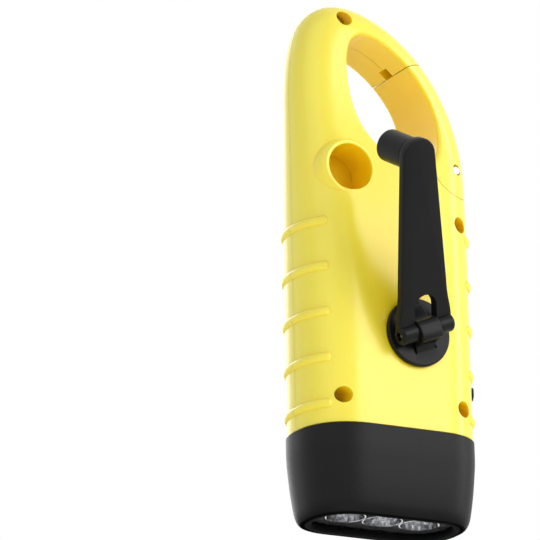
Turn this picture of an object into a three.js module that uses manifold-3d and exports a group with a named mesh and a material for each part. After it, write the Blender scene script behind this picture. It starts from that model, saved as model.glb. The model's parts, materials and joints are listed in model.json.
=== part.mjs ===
// Hand crank flashlight: a two-part shell that ends in a carabiner hook, a lamp head with three
// lights, a solar panel on the front and a folding crank on the back that drives a small generator.
// Millimetres. The light stands on its lamp head: +Z runs up to the hook, +Y is the crank side,
// -Y the solar side, and the hook's gate is on -X.

import * as THREE from 'three';
import ManifoldModule from 'manifold-3d';

const wasm = await ManifoldModule();
wasm.setup();

const degree = Math.PI / 180;
const fullTurn = 2 * Math.PI;

// Clearances and cuts
const seatGap = 0.3;
const boreGap = 0.25;
const overrun = 3;
const skim = 0.02;

// Body shells
const bodyHalfWidth = 23.8;
const bodyHalfDepth = 14.2;
const hookHalfDepth = 9.6;
const shellWall = 1.8;
const headHeight = 22;
const taperStart = 67;
const hookBaseHeight = 90;
const hookHeight = 45;
const taperEndShare = 0.61;
const cornerShare = 1.01;
const cornerPower = 2.36;
const cornerSteps = 6;
const taperSteps = 4;
const hookSteps = 13;
const insideSteps = 7;

// Hook outline and opening, as shares of the half width and of the hook's height
const leftOutlineShares = [[-1, 0], [-1, 0.667], [-0.042, 1], [0.462, 1]];
const rightOutlineShares = [[1, 0.4], [1, 0.778], [0.903, 1], [0.462, 1]];
const openingShares = [
  [0.491, 0.604], [0.489, 0.71], [0.445, 0.807],
  [0.281, 0.8], [-0.005, 0.788], [-0.554, 0.562],
  [-0.565, 0.268], [-0.573, 0.152], [-0.475, 0.048],
  [-0.291, 0.055], [0.224, 0.073], [0.482, 0.254],
];
const openingRounding = 1.3;
const openingSteps = 5;

// Gate of the hook, its pin and spring
const gatePinShares = [-0.779, 0.068];
const gateRootRadius = 7.5;
const gateLength = 28.95;
const gatePinRadius = 1.2;
const gatePinRecess = 0.5;
const gateSlotHalf = 4.8;
const gateSlotRadius = 8.8;
const rootArc = [180 * degree, 385 * degree];
const tipArc = [55 * degree, 110 * degree];
const noseArc = [70 * degree, 76.5 * degree];
const noseReach = 2.4;
const noseHalf = 1.5;
const lugHalf = gateSlotHalf - seatGap - skim;
const lugRadius = gateRootRadius - seatGap;
const lugNeckHalf = 4.5;
const springRadius = 2.2;
const springWire = 0.6;
const springTurns = 3.5;
const springRise = springTurns * (springWire + seatGap / 2);
const springLeg = 5.6;
const springShortLeg = 2.4;

// Grip ribs
const ribCount = 5;
const ribFirst = 5.27;
const ribPitch = 11.81;
const ribHalfWidth = 1.15;
const ribProud = 0.75;
const ribSink = 0.5;
const ribWrap = 49 * degree;
const ribSteps = 5;

// Body screws
const screwRadius = 0.95;
const screwHeadRadius = 1.85;
const screwHeadHeight = 1.3;
const screwReach = 7;
const screwFloor = 3.3;
const wellRadius = 2.1;
const bossWall = 1.2;
const lowerScrewInset = 6.8;
const lowerScrewRise = 7.2;
const upperScrewInset = 5.8;
const upperScrewDrop = 12.2;
const hookScrewShares = [0.506, 0.885];

// Lamp head
const headProud = 0.3;
const headFaceInset = 3.75;
const headProfileShares = [[1, 0], [0.78, 0], [0.6, 0.06], [0.36, 0.2], [0.15, 0.45], [0.045, 0.72], [0, 1]];
const headWall = 2.65;
const rimWidth = 1.2;
const mouthDepth = 2.4;
const mouthSlope = 1.6;
const collarRise = 3.3;
const collarWall = 1.4;
const collarRoot = 4;
const lensThickness = 1.2;
const reflectorPlate = 1.2;
const cupSpacing = 10.4;
const cupMouth = 5;
const cupDepth = 8.8;
const cupShares = [[1, 0], [0.92, 0.32], [0.72, 0.66], [0.56, 1]];
const cupWall = 0.8;
const ledRadius = 2.45;
const ledFlange = 2.85;
const ledFlangeHeight = 1.2;
const ledLength = 8.6;
const ledBoardThickness = 1.4;

// Solar panel
const bezelHalfWidth = 15;
const bezelBottom = 27.6;
const bezelTop = 71.2;
const bezelArch = 4.6;
const bezelCorner = 3;
const bezelCrest = 15.2;
const bezelDepth = 4;
const bezelRimShares = [[0, 0.2], [0.1, 0.05], [0.31, 0], [0.39, 0.125], [0.47, 0.125], [0.55, 0.05]];
const windowHalfWidth = 9.9;
const windowInset = 5.2;
const windowCorner = 2;
const windowThickness = 0.6;
const rebateWidth = 1.3;
const ledgeWidth = 1;
const ledgeDrop = 0.4;
const ledgeDepth = 1.9;
const cellMargin = 0.2;
const cellThickness = 0.7;

// Crank hub, arm and knob
const hubX = -3.2;
const hubZ = 46.8;
const hubRadius = 8.75;
const hubDisc = 1.2;
const hubEdge = 0.4;
const hingeRise = 2.7;
const shaftRadius = 2.6;
const shaftFlat = 1.9;
const shaftEnd = 4.5;
const shaftFlatTop = 11;
const hubBlockHalf = 3.1;
const hubFootShares = [[-0.58, 0], [-0.5, 0.12], [-0.33, 0.5]];
const hubTongueShares = [[0.78, 0], [0.78, 0.22], [0.33, 0.7]];
const hubTubeWall = 1.6;
const armTurn = 21.5 * degree;
const armTilt = 31.9 * degree;
const armLength = 45.2;
const armTipRadius = 4.8;
const armOuter = 0.6;
const armInner = 1.7;
const armEdge = 0.4;
const knuckleHalf = 8;
const armSideShares = [[0, 1], [0.13, 1], [0.12, 0.88], [0.26, 0.86]];
const armWindowReach = 9.2;
const knobRadius = 4.1;
const knobLength = 10.7;
const knobDome = 0.6;
const knobBore = 8.8;
const stubRadius = 1.5;
const hingePinRadius = 0.9;
const hingePinInset = 0.25;

// Knob pocket in the back shell
const pocketRadius = 6.1;
const pocketFloor = 1.9;
const pocketLip = 12.6;
const pocketLipShares = [[1.31, 0.06], [1.355, 0.64], [1.29, 0.87], [1.14, 1]];

// Gear train and generator
const gearModule = 0.8;
const toothTip = 0.7;
const toothRoot = 0.95;
const toothHalf = 0.47;
const driveTeeth = 28;
const idlerOneTeeth = 24;
const idlerTwoTeeth = 22;
const pinionTeeth = 10;
const gearThickness = 1.8;
const pinionFace = 2.6;
const driveGearAt = 7.5;
const idlerOneAt = 3.9;
const idlerTwoAt = 1.2;
const idlerOneTurn = 120 * degree;
const idlerTwoTurn = 10 * degree;
const rotorTurn = -67 * degree;
const axleRadius = 0.75;
const axlePlay = 0.5;
const frameThickness = 1.5;
const frameTop = -0.9;
const frameInset = 4.8;
const frameBottom = 41;
const frameHeight = 31;
const frameCorner = 4;
const framePostInset = 6.5;
const framePostRise = 23;
const framePostRadius = 1.8;
const magnetRadius = 3.4;
const statorMargin = 1.6;
const magnetGap = 0.5;
const bobbinRadius = 7.3;
const bobbinCore = 1;
const bobbinFlange = 1;
const coilDepth = 1.9;

// Battery, boards and switch
const batteryRadius = 7;
const batteryFrom = -7;
const batteryTo = 11;
const batteryY = -3;
const batteryZ = 33;
const batteryCap = 1;
const batteryCapRadius = 2.6;
const cradleThickness = 1.4;
const cradleHalf = 4.5;
const boardInset = 5.2;
const boardWidth = 10.1;
const boardBottom = 33.5;
const boardTop = 55;
const boardY = -5.6;
const boardThickness = 1.2;
const boardPostInset = 6.2;
const boardPostRadius = 1.3;
const switchInset = 5.4;
const switchLength = 4;
const switchHeight = 3.6;
const switchDepth = 4.1;
const plungerRadius = 0.8;
const plungerReach = 0.5;

// Side button
const buttonZ = 35.8;
const buttonHalfLength = 7;
const buttonHalfHeight = 1.7;
const buttonProud = 0.7;
const buttonFlange = 1;
const buttonFlangeMargin = 0.9;
const buttonStem = 1.2;
const buttonStemReach = 0.7;

// Heights and places that follow from the sizes above
const overallLength = hookBaseHeight + hookHeight;
const taperEnd = hookBaseHeight + hookHeight * taperEndShare;
const hookSpot = ([across, up]) => new THREE.Vector2(bodyHalfWidth * across, hookBaseHeight + hookHeight * up);
const gatePin = hookSpot(gatePinShares);
const shellInside = bodyHalfDepth - shellWall;
const discFrom = bodyHalfDepth + seatGap;
const discTo = discFrom + hubDisc;
const hingeY = discTo + hingeRise;
const pocketX = hubX + armLength * Math.sin(armTurn);
const pocketZ = hubZ + armLength * Math.cos(armTurn);
const frameHalfWidth = bodyHalfWidth - frameInset;
const framePostX = bodyHalfWidth - framePostInset;
const boardLeft = boardInset - bodyHalfWidth;
const boardRight = boardLeft + boardWidth;
const boardPostX = bodyHalfWidth - boardPostInset;
const switchLeft = switchInset - bodyHalfWidth;
const pitchRadius = (teeth) => gearModule * teeth / 2;

// Materials
const finish = (color, roughness, metalness = 0) => (
  new THREE.MeshStandardMaterial({ color, roughness, metalness })
);
const yellowPlastic = finish(0xf7ea55, 0.42);
const blackPlastic = finish(0x2d2d2d, 0.62);
const clearPlastic = finish(0xe8eef0, 0.1);
const silvered = finish(0xd8dade, 0.2, 0.9);
const cellGlass = finish(0x8c5f49, 0.3);
const steel = finish(0xb9bcc0, 0.35, 0.9);
const whiteNylon = finish(0xe9e6dc, 0.5);
const boardGreen = finish(0x2f6b42, 0.5);
const copper = finish(0xb4622f, 0.35, 0.8);
const magnetGrey = finish(0x55585c, 0.4, 0.6);
const batteryWrap = finish(0x3f8f6b, 0.4);

const point = (x, y, z) => new THREE.Vector3(x, y, z);
const flat = (x, y) => new THREE.Vector2(x, y);

// Ways to lay a flat outline (u, v) and a height (w) in space
const alongX = (u, v, w) => point(w, u, v);
const alongY = (u, v, w) => point(u, w, v);
const alongZ = (u, v, w) => point(u, v, w);
const about = (place, x, y, z) => (u, v, w) => place(u, v, w).add(point(x, y, z));

// A closed surface gathered from triangles whose shared corners are merged
const weldsPerUnit = 10000;
class Surface {
  constructor() {
    this.keys = new Map();
    this.corners = [];
    this.faces = [];
  }

  corner(spot) {
    const key = spot.toArray().map((value) => Math.round(value * weldsPerUnit)).join(' ');
    if (!this.keys.has(key)) {
      this.keys.set(key, this.corners.length);
      this.corners.push(spot);
    }
    return this.keys.get(key);
  }

  face(a, b, c) {
    const ids = [this.corner(a), this.corner(b), this.corner(c)];
    if (new Set(ids).size === ids.length) this.faces.push(ids);
  }

  // Fills a ring with triangles that face along its normal, or against it.
  cap(ring, against) {
    const normal = point(0, 0, 0);
    ring.forEach((spot, k) => {
      normal.add(point(0, 0, 0).crossVectors(spot, ring[(k + 1) % ring.length]));
    });
    if (normal.length() < 1 / weldsPerUnit) return;
    normal.normalize();
    const helper = Math.abs(normal.z) < Math.SQRT1_2 ? point(0, 0, 1) : point(1, 0, 0);
    const across = helper.cross(normal).normalize();
    const up = normal.clone().cross(across);
    const outline = ring.map((spot) => flat(spot.dot(across), spot.dot(up)));
    THREE.ShapeUtils.triangulateShape(outline, []).forEach(([a, b, c]) => {
      const side = outline[b].clone().sub(outline[a]).cross(outline[c].clone().sub(outline[a]));
      const turned = (side < 0) !== against;
      if (turned) this.face(ring[a], ring[c], ring[b]);
      else this.face(ring[a], ring[b], ring[c]);
    });
  }

  solid() {
    let volume = 0;
    this.faces.forEach(([a, b, c]) => {
      volume += this.corners[a].dot(this.corners[b].clone().cross(this.corners[c]));
    });
    const order = volume < 0 ? ([a, b, c]) => [a, c, b] : (ids) => ids;
    return new wasm.Manifold(new wasm.Mesh({
      numProp: 3,
      vertProperties: new Float32Array(this.corners.flatMap((spot) => spot.toArray())),
      triVerts: new Uint32Array(this.faces.flatMap(order)),
    }));
  }
}

// A solid skinned over rings of points; joined rings close on the first one, others get caps.
function skin(rings, joined = false) {
  const surface = new Surface();
  const count = rings[0].length;
  const spans = joined ? rings.length : rings.length - 1;
  for (let i = 0; i < spans; i += 1) {
    const ring = rings[i];
    const next = rings[(i + 1) % rings.length];
    for (let k = 0; k < count; k += 1) {
      const after = (k + 1) % count;
      surface.face(ring[k], ring[after], next[after]);
      surface.face(ring[k], next[after], next[k]);
    }
  }
  if (!joined) {
    surface.cap(rings[0], true);
    surface.cap(rings[rings.length - 1], false);
  }
  return surface.solid();
}

// A flat outline carried straight from one height to another
function prism(outline, from, to, place) {
  return skin([from, to].map((w) => outline.map((spot) => place(spot.x, spot.y, w))));
}

// A prism of a convex outline whose edges are cut back by a small bevel
function slab(outline, from, to, edge, place) {
  const inset = (amount) => outline.map((spot, k) => {
    const before = outline[(k + outline.length - 1) % outline.length];
    const after = outline[(k + 1) % outline.length];
    const along = after.clone().sub(before).normalize();
    return flat(spot.x - amount * along.y, spot.y + amount * along.x);
  });
  const levels = [[edge, from], [0, from + edge], [0, to - edge], [edge, to]];
  return skin(levels.map(([amount, w]) => inset(amount).map((spot) => place(spot.x, spot.y, w))));
}

// A profile of (radius, height) pairs turned about its axis
function turned(profile, sides, place) {
  const rings = [];
  for (let k = 0; k < sides; k += 1) {
    const angle = fullTurn * k / sides;
    rings.push(profile.map(([radius, height]) => (
      place(radius * Math.cos(angle), radius * Math.sin(angle), height)
    )));
  }
  return skin(rings, true);
}

const drum = (radius, from, to, sides, place) => (
  turned([[0, from], [radius, from], [radius, to], [0, to]], sides, place)
);

const ringDrum = (inner, outer, from, to, sides, place) => (
  turned([[inner, from], [outer, from], [outer, to], [inner, to]], sides, place)
);

function block(x, y, z) {
  const outline = [flat(x[0], y[0]), flat(x[1], y[0]), flat(x[1], y[1]), flat(x[0], y[1])];
  return prism(outline, z[0], z[1], alongZ);
}

// Points of an arc, both ends included
function arc(centre, radius, from, to, steps) {
  const spots = [];
  for (let k = 0; k <= steps; k += 1) {
    const angle = from + (to - from) * k / steps;
    spots.push(flat(centre.x + radius * Math.cos(angle), centre.y + radius * Math.sin(angle)));
  }
  return spots;
}

// A pill outline of two round ends joined by straight sides, long along its first direction
const quarterTurn = fullTurn / 4;
function pill(halfLength, halfHeight, steps) {
  const reach = halfLength - halfHeight;
  return [
    ...arc(flat(reach, 0), halfHeight, -quarterTurn, quarterTurn, steps),
    ...arc(flat(-reach, 0), halfHeight, quarterTurn, 3 * quarterTurn, steps),
  ];
}

const sideStep = 16;
const smallSides = 14;
const largeSides = 28;

// Half depth of the body at a height: full in the grip and drawn in towards the hook
function halfDepthAt(z) {
  const share = THREE.MathUtils.smoothstep(z, taperStart, taperEnd);
  return bodyHalfDepth + (hookHalfDepth - bodyHalfDepth) * share;
}

// The rounded corner of the section, from the side line (0) to the flat face (1)
function cornerAt(share) {
  const angle = share * quarterTurn;
  const power = 2 / cornerPower;
  return {
    inward: 1 - Math.max(Math.cos(angle), 0) ** power,
    outward: Math.sin(angle) ** power,
  };
}

// Depth of the surface at a distance in from the side outline
function depthAtInset(inset, z) {
  const share = Math.min(inset / (cornerShare * halfDepthAt(z)), 1);
  const cosine = (1 - share) ** (cornerPower / 2);
  return halfDepthAt(z) * Math.sqrt(1 - cosine * cosine) ** (2 / cornerPower);
}

const leftOutline = new THREE.CubicBezierCurve(...leftOutlineShares.map(hookSpot));
const rightOutline = new THREE.CubicBezierCurve(...rightOutlineShares.map(hookSpot));

// The right outline's point at a height, found by halving the curve
function rightAt(z) {
  if (z <= rightOutline.v0.y) return { at: flat(bodyHalfWidth, z), out: flat(1, 0) };
  let low = 0;
  let high = 1;
  for (let k = 0; k < sideStep + sideStep; k += 1) {
    const middle = (low + high) / 2;
    if (rightOutline.getPoint(middle).y < z) low = middle;
    else high = middle;
  }
  const along = rightOutline.getTangent(low);
  return { at: rightOutline.getPoint(low), out: flat(along.y, -along.x) };
}

// Levels of the body's outline, left and right points at the same height, up to the apex
function outlineLevels(steps) {
  const levels = [];
  const straight = (z) => levels.push({
    left: { at: flat(-bodyHalfWidth, z), out: flat(-1, 0) },
    right: { at: flat(bodyHalfWidth, z), out: flat(1, 0) },
  });
  straight(headHeight - overrun);
  for (let k = 0; k <= taperSteps; k += 1) {
    straight(taperStart + (hookBaseHeight - taperStart) * k / taperSteps);
  }
  for (let k = 1; k < steps; k += 1) {
    const at = leftOutline.getPoint(k / steps);
    const along = leftOutline.getTangent(k / steps);
    levels.push({ left: { at, out: flat(-along.y, along.x) }, right: rightAt(at.y) });
  }
  const apex = { at: leftOutline.v3, out: flat(0, 1) };
  levels.push({ left: apex, right: apex });
  return levels;
}

// The body's whole form, drawn in by an inset (or grown by a negative one)
function bodyForm(inset, steps = hookSteps) {
  const corner = (side, share) => {
    const { inward, outward } = cornerAt(share);
    const radius = cornerShare * halfDepthAt(side.at.y) - inset;
    const spot = side.at.clone().addScaledVector(side.out, -inset - radius * inward);
    return point(spot.x, outward * (halfDepthAt(spot.y) - inset), spot.y);
  };
  const shares = Array.from({ length: cornerSteps + 1 }, (_, k) => k / cornerSteps);
  const mirror = (spot) => point(spot.x, -spot.y, spot.z);
  return skin(outlineLevels(steps).map(({ left, right }) => {
    const rightSide = shares.map((share) => corner(right, share));
    const leftSide = shares.map((share) => corner(left, share));
    return [
      ...rightSide,
      ...[...leftSide].reverse(),
      ...leftSide.slice(1).map(mirror),
      ...rightSide.slice(1).reverse().map(mirror),
    ];
  }));
}

// The opening's outline, grown outward
function openingOutline(growth) {
  const corners = openingShares.map(hookSpot);
  const spots = [];
  for (let i = 0; i < corners.length; i += 3) {
    const ends = [0, 1, 2, 3].map((k) => corners[(i + k) % corners.length]);
    const curve = new THREE.CubicBezierCurve(...ends);
    for (let k = 0; k < openingSteps; k += 1) {
      const along = curve.getTangent(k / openingSteps);
      spots.push(curve.getPoint(k / openingSteps).add(flat(growth * along.y, -growth * along.x)));
    }
  }
  return spots;
}

// The cut of the opening, flared so that its edges come out rounded
function openingCut() {
  const ring = (growth, depth) => (
    openingOutline(growth).map((spot) => point(spot.x, depth(spot.y), spot.y))
  );
  const half = [ring(openingRounding, () => bodyHalfDepth + overrun)];
  [0, 1, 2, 3].forEach((k) => {
    const angle = quarterTurn * k / 3;
    const growth = openingRounding * (1 - Math.sin(angle));
    const drop = openingRounding * (1 - Math.cos(angle)) - (k === 0 ? skim : 0);
    half.push(ring(growth, (z) => halfDepthAt(z) - drop));
  });
  const other = half.map((spots) => spots.map((spot) => point(spot.x, -spot.y, spot.z)));
  return skin([...half, ...other.reverse()]);
}

// The stretch of the hook that swings, between an arc at its root and one at its tip
function gateStretch(rootRadius, tipRadius) {
  const outline = [
    ...arc(gatePin, rootRadius, ...rootArc, sideStep),
    ...arc(gatePin, tipRadius, ...tipArc, smallSides),
  ];
  return prism(outline, -bodyHalfDepth - overrun, bodyHalfDepth + overrun, alongY);
}

function sector(inner, outer, from, to, half) {
  const outline = [...arc(gatePin, outer, from, to, 3), ...arc(gatePin, inner, to, from, 3)];
  return prism(outline, -half, half, alongY);
}

const atGatePin = about(alongY, gatePin.x, 0, gatePin.y);
const wholeForm = bodyForm(0);
const openingTool = openingCut();

function makeGate() {
  const noseRadius = gateLength + noseReach;
  return wholeForm
    .intersect(gateStretch(gateRootRadius, gateLength))
    .subtract(openingTool)
    .add(sector(gateLength - noseReach, noseRadius, ...noseArc, noseHalf))
    .subtract(drum(gateSlotRadius, -gateSlotHalf, gateSlotHalf, largeSides, atGatePin))
    .subtract(drum(gatePinRadius + boreGap, -bodyHalfDepth, bodyHalfDepth, smallSides, atGatePin));
}

// The lug of the body between the gate's ears, with a recess for the spring
function makeLug() {
  const lowest = gateRootRadius + seatGap + shellWall / 2;
  const neck = block(
    [gatePin.x - lugNeckHalf, gatePin.x + lugNeckHalf],
    [-lugHalf, lugHalf],
    [gatePin.y - lowest, gatePin.y],
  );
  const room = springRadius + springWire + seatGap;
  const roomHalf = springRise / 2 + springWire / 2 + seatGap;
  const recess = drum(room, -roomHalf, roomHalf, smallSides, atGatePin)
    .add(block(
      [gatePin.x - room, gatePin.x + room],
      [-roomHalf, roomHalf],
      [gatePin.y, gatePin.y + gateSlotRadius],
    ));
  return drum(lugRadius, -lugHalf, lugHalf, largeSides, atGatePin)
    .add(neck)
    .intersect(wholeForm)
    .subtract(recess)
    .subtract(drum(gatePinRadius + boreGap, -lugHalf - skim, lugHalf + skim, smallSides, atGatePin));
}

// A torsion spring: a short helix round the pin with two straight legs
function makeGateSpring() {
  const stepsPerTurn = 8;
  const steps = stepsPerTurn * springTurns;
  const path = [point(gatePin.x + springRadius, -springRise / 2, gatePin.y + springLeg)];
  for (let k = 0; k <= steps; k += 1) {
    const angle = -fullTurn * k / stepsPerTurn;
    path.push(point(
      gatePin.x + springRadius * Math.cos(angle),
      springRise * (k / steps - 1 / 2),
      gatePin.y + springRadius * Math.sin(angle),
    ));
  }
  const last = path[path.length - 1];
  path.push(point(last.x, last.y, gatePin.y + springShortLeg));
  return wire(path, springWire / 2, 6);
}

// A round wire along a chain of points, with a ring of corners at each of them
function wire(path, radius, sides) {
  let side = point(0, 1, 0);
  return skin(path.map((spot, k) => {
    const before = path[Math.max(k - 1, 0)];
    const after = path[Math.min(k + 1, path.length - 1)];
    const along = after.clone().sub(before).normalize();
    side = side.clone().addScaledVector(along, -side.dot(along)).normalize();
    const other = along.clone().cross(side);
    return Array.from({ length: sides }, (_, n) => {
      const angle = fullTurn * n / sides;
      return spot.clone()
        .addScaledVector(side, radius * Math.cos(angle))
        .addScaledVector(other, radius * Math.sin(angle));
    });
  }));
}

// A grip rib wrapped round one side of the body, with its ends drawn down to the surface
function makeRib(z, sign) {
  const depth = halfDepthAt(z);
  const radius = cornerShare * depth;
  const power = 2 / cornerPower;
  const onSection = (angle) => flat(
    bodyHalfWidth - radius * (1 - Math.cos(angle) ** power),
    depth * Math.sign(angle) * Math.abs(Math.sin(angle)) ** power,
  );
  const profile = [[-1, 0], [-1, 0.3], [-0.62, 0.9], [0, 1], [0.62, 0.9], [1, 0.3], [1, 0]];
  const rings = [];
  for (let k = -ribSteps; k <= ribSteps; k += 1) {
    const angle = ribWrap * k / ribSteps;
    const step = ribWrap / ribSteps / 4;
    const along = onSection(angle + step).sub(onSection(angle - step)).normalize();
    const out = flat(along.y, -along.x);
    const here = onSection(angle);
    const fade = Math.abs(k) === ribSteps ? 0.35 : 1;
    rings.push(profile.map(([across, up]) => {
      const height = up === 0 ? -ribSink : ribProud * up * fade;
      const spot = here.clone().addScaledVector(out, height);
      return point(sign * spot.x, spot.y, z + ribHalfWidth * across * (fade + 1) / 2);
    }));
  }
  return skin(rings);
}

const screwSpots = {
  lower_left: flat(lowerScrewInset - bodyHalfWidth, headHeight + lowerScrewRise),
  lower_right: flat(bodyHalfWidth - lowerScrewInset, headHeight + lowerScrewRise),
  upper: flat(upperScrewInset - bodyHalfWidth, hookBaseHeight - upperScrewDrop),
  hook: hookSpot(hookScrewShares),
};

// Rounded outline of the solar bezel: a rectangle with round corners and an arched top
function bezelOutline(halfWidth, bottom, top, arch, corner) {
  const spots = [];
  const cornerCuts = 3;
  const archCuts = 6;
  const reach = halfWidth - corner;
  spots.push(...arc(flat(-reach, bottom + corner), corner, 2 * quarterTurn, 3 * quarterTurn, cornerCuts));
  spots.push(...arc(flat(reach, bottom + corner), corner, -quarterTurn, 0, cornerCuts));
  spots.push(...arc(flat(reach, top - corner), corner, 0, quarterTurn, cornerCuts));
  for (let k = 1; k < archCuts; k += 1) {
    const share = 1 - 2 * k / archCuts;
    spots.push(flat(reach * share, top + arch * (1 - share * share)));
  }
  spots.push(...arc(flat(-reach, top - corner), corner, quarterTurn, 2 * quarterTurn, cornerCuts));
  return spots;
}

const bezelSize = (inset) => [
  bezelHalfWidth - inset, bezelBottom + inset, bezelTop - inset, bezelArch, bezelCorner - inset / 2,
];
const windowBottom = bezelBottom + windowInset;
const windowTop = bezelTop - windowInset + bezelArch / 2;
const windowSize = (growth) => [
  windowHalfWidth + growth, windowBottom - growth, windowTop + growth, 0, windowCorner,
];
const bezelBack = -bezelCrest + bezelDepth;
const ledgeBack = -bezelCrest + ledgeDepth;

// The front shell and the back shell: halves of one hollow form, each with its own bosses
function makeShells() {
  const cavity = bodyForm(shellWall, insideSteps)
    .subtract(prism(openingOutline(shellWall), -bodyHalfDepth, bodyHalfDepth, alongY))
    .subtract(gateStretch(
      gateRootRadius + seatGap + shellWall,
      gateLength + noseReach + seatGap + shellWall,
    ));
  let blank = wholeForm.subtract(cavity);
  for (let k = 0; k < ribCount; k += 1) {
    const z = headHeight + ribFirst + ribPitch * k;
    blank = blank.add(makeRib(z, 1)).add(makeRib(z, -1));
  }
  blank = blank
    .subtract(openingTool)
    .subtract(gateStretch(gateRootRadius + seatGap, gateLength + seatGap))
    .subtract(sector(
      gateLength,
      gateLength + noseReach + seatGap,
      tipArc[0],
      noseArc[1] + seatGap / gateLength,
      noseHalf + seatGap,
    ))
    .add(makeLug())
    .subtract(prism(
      pill(buttonHalfLength + seatGap, buttonHalfHeight + seatGap, 6),
      -bodyHalfWidth - overrun,
      -bodyHalfWidth / 2,
      about(alongX, 0, 0, buttonZ),
    ));
  const wide = [-bodyHalfWidth - overrun, bodyHalfWidth + overrun];
  const tall = [headHeight + seatGap, overallLength + overrun];
  const backHalf = block(wide, [seatGap / 2, bodyHalfDepth + overrun], tall);
  const frontHalf = block(wide, [-bodyHalfDepth - overrun, -seatGap / 2], tall);
  return {
    front: makeFrontShell(blank.intersect(frontHalf)),
    back: makeBackShell(blank.intersect(backHalf)),
  };
}

function makeFrontShell(half) {
  let shell = half;
  const bossOuter = screwRadius + boreGap + bossWall + seatGap;
  const frontOf = (spot, radius, top) => (
    drum(radius, -bodyHalfDepth, top, smallSides, about(alongY, spot.x, 0, spot.y))
  );
  const posts = [
    ...Object.values(screwSpots).map((spot) => frontOf(spot, bossOuter, -seatGap / 2)),
    ...[1, -1].map((sign) => frontOf(
      flat(sign * framePostX, frameBottom + framePostRise),
      framePostRadius,
      frameTop - frameThickness - seatGap,
    )),
    ...[1, 3].map((share) => frontOf(
      flat(-boardPostX, boardBottom + (boardTop - boardBottom) * share / 4),
      boardPostRadius,
      boardY - seatGap,
    )),
  ];
  posts.forEach((post) => {
    shell = shell.add(post.intersect(wholeForm));
  });
  Object.values(screwSpots).forEach((spot) => {
    const place = about(alongY, spot.x, 0, spot.y);
    shell = shell.subtract(drum(
      screwRadius + boreGap, -screwReach - overrun / 3, overrun, smallSides, place,
    ));
  });
  const hole = bezelOutline(...bezelSize(-boreGap));
  return shell.subtract(prism(hole, -bodyHalfDepth - overrun, bezelBack + seatGap, alongY));
}

function makeBackShell(half) {
  let shell = half;
  const bossOuter = wellRadius + bossWall;
  const atSpot = (spot) => about(alongY, spot.x, 0, spot.y);
  Object.values(screwSpots).forEach((spot) => {
    const boss = drum(bossOuter, seatGap / 2, bodyHalfDepth, smallSides, atSpot(spot));
    shell = shell.add(boss.intersect(wholeForm));
  });
  // The tube that guides the crank shaft, and the seats of the idler axles
  const atHub = about(alongY, hubX, 0, hubZ);
  const tubeRadius = shaftRadius + seatGap + hubTubeWall;
  const tubeEnd = driveGearAt + gearThickness + seatGap;
  shell = shell.add(drum(tubeRadius, tubeEnd, bodyHalfDepth - skim, largeSides, atHub));
  [[idlerOne, pinionOneTop], [idlerTwo, pinionTwoTop]].forEach(([spot, top]) => {
    const outer = axleRadius + boreGap + bossWall / 2;
    shell = shell.add(drum(outer, top + axlePlay, shellInside + skim, smallSides, atSpot(spot)));
    shell = shell.subtract(drum(
      axleRadius + boreGap, top, shellInside - seatGap, smallSides, atSpot(spot),
    ));
  });
  // The two cradle webs behind the battery
  const tallBattery = [batteryZ - cradleHalf - overrun, batteryZ + cradleHalf + overrun];
  [batteryFrom + cradleThickness + cradleThickness, batteryTo - 3 * cradleThickness].forEach((x) => {
    const web = block(
      [x, x + cradleThickness],
      [batteryY, shellInside + skim],
      [batteryZ - cradleHalf, batteryZ + cradleHalf],
    );
    const seat = drum(
      batteryRadius + seatGap, x - overrun, x + overrun, largeSides,
      about(alongX, 0, batteryY, batteryZ),
    );
    const gearRoom = drum(
      pitchRadius(driveTeeth) + gearModule + seatGap,
      driveGearAt - seatGap,
      driveGearAt + gearThickness + seatGap,
      largeSides,
      atHub,
    );
    const below = block([x - overrun, x + overrun], [batteryY - overrun, 0], tallBattery);
    shell = shell.add(web.subtract(seat).subtract(below).subtract(gearRoom));
  });
  // The cup that takes the folded knob, with its raised lip
  const atPocket = about(alongY, pocketX, 0, pocketZ);
  const lip = pocketLipShares.map(([out, up]) => [pocketRadius * out, pocketLip * up]);
  shell = shell.add(turned([[0, lip[0][1]], ...lip, [0, pocketLip]], largeSides, atPocket));
  shell = shell.subtract(drum(pocketRadius, pocketFloor, bodyHalfDepth + overrun, largeSides, atPocket));
  shell = shell.subtract(drum(
    shaftRadius + seatGap, 0, bodyHalfDepth + overrun, largeSides, atHub,
  ));
  Object.values(screwSpots).forEach((spot) => {
    shell = shell
      .subtract(drum(wellRadius, screwFloor, bodyHalfDepth + overrun, smallSides, atSpot(spot)))
      .subtract(drum(screwRadius + boreGap, -overrun, screwFloor + skim, smallSides, atSpot(spot)));
  });
  return shell;
}

// Section of the head: the body's rounded section at a half width and half depth
function sectionOutline(halfWidth, halfDepth) {
  const radius = cornerShare * halfDepth;
  const spots = [];
  for (let k = 0; k <= cornerSteps; k += 1) {
    const { inward, outward } = cornerAt(k / cornerSteps);
    spots.push(flat(halfWidth - radius * inward, halfDepth * outward));
  }
  const left = spots.map((spot) => flat(-spot.x, spot.y)).reverse();
  const below = left.slice(0, -1).map((spot) => flat(spot.x, -spot.y)).reverse();
  const last = spots.slice(1).map((spot) => flat(spot.x, -spot.y)).reverse();
  return [...spots, ...left, ...below, ...last];
}

const headHalfWidth = bodyHalfWidth + headProud;
const headHalfDepth = bodyHalfDepth + headProud;
const headSection = (inset) => sectionOutline(headHalfWidth - inset, headHalfDepth - inset);
const headRing = (inset, z) => headSection(inset).map((spot) => point(spot.x, spot.y, z));
const headPlate = (inset, from, to) => prism(headSection(inset), from, to, alongZ);
const lensFrom = mouthDepth + seatGap;
const plateFrom = lensFrom + lensThickness + seatGap;
const cupTop = plateFrom + cupDepth;
const flangeFrom = cupTop + seatGap;
const boardFrom = flangeFrom + ledFlangeHeight + seatGap;

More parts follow.
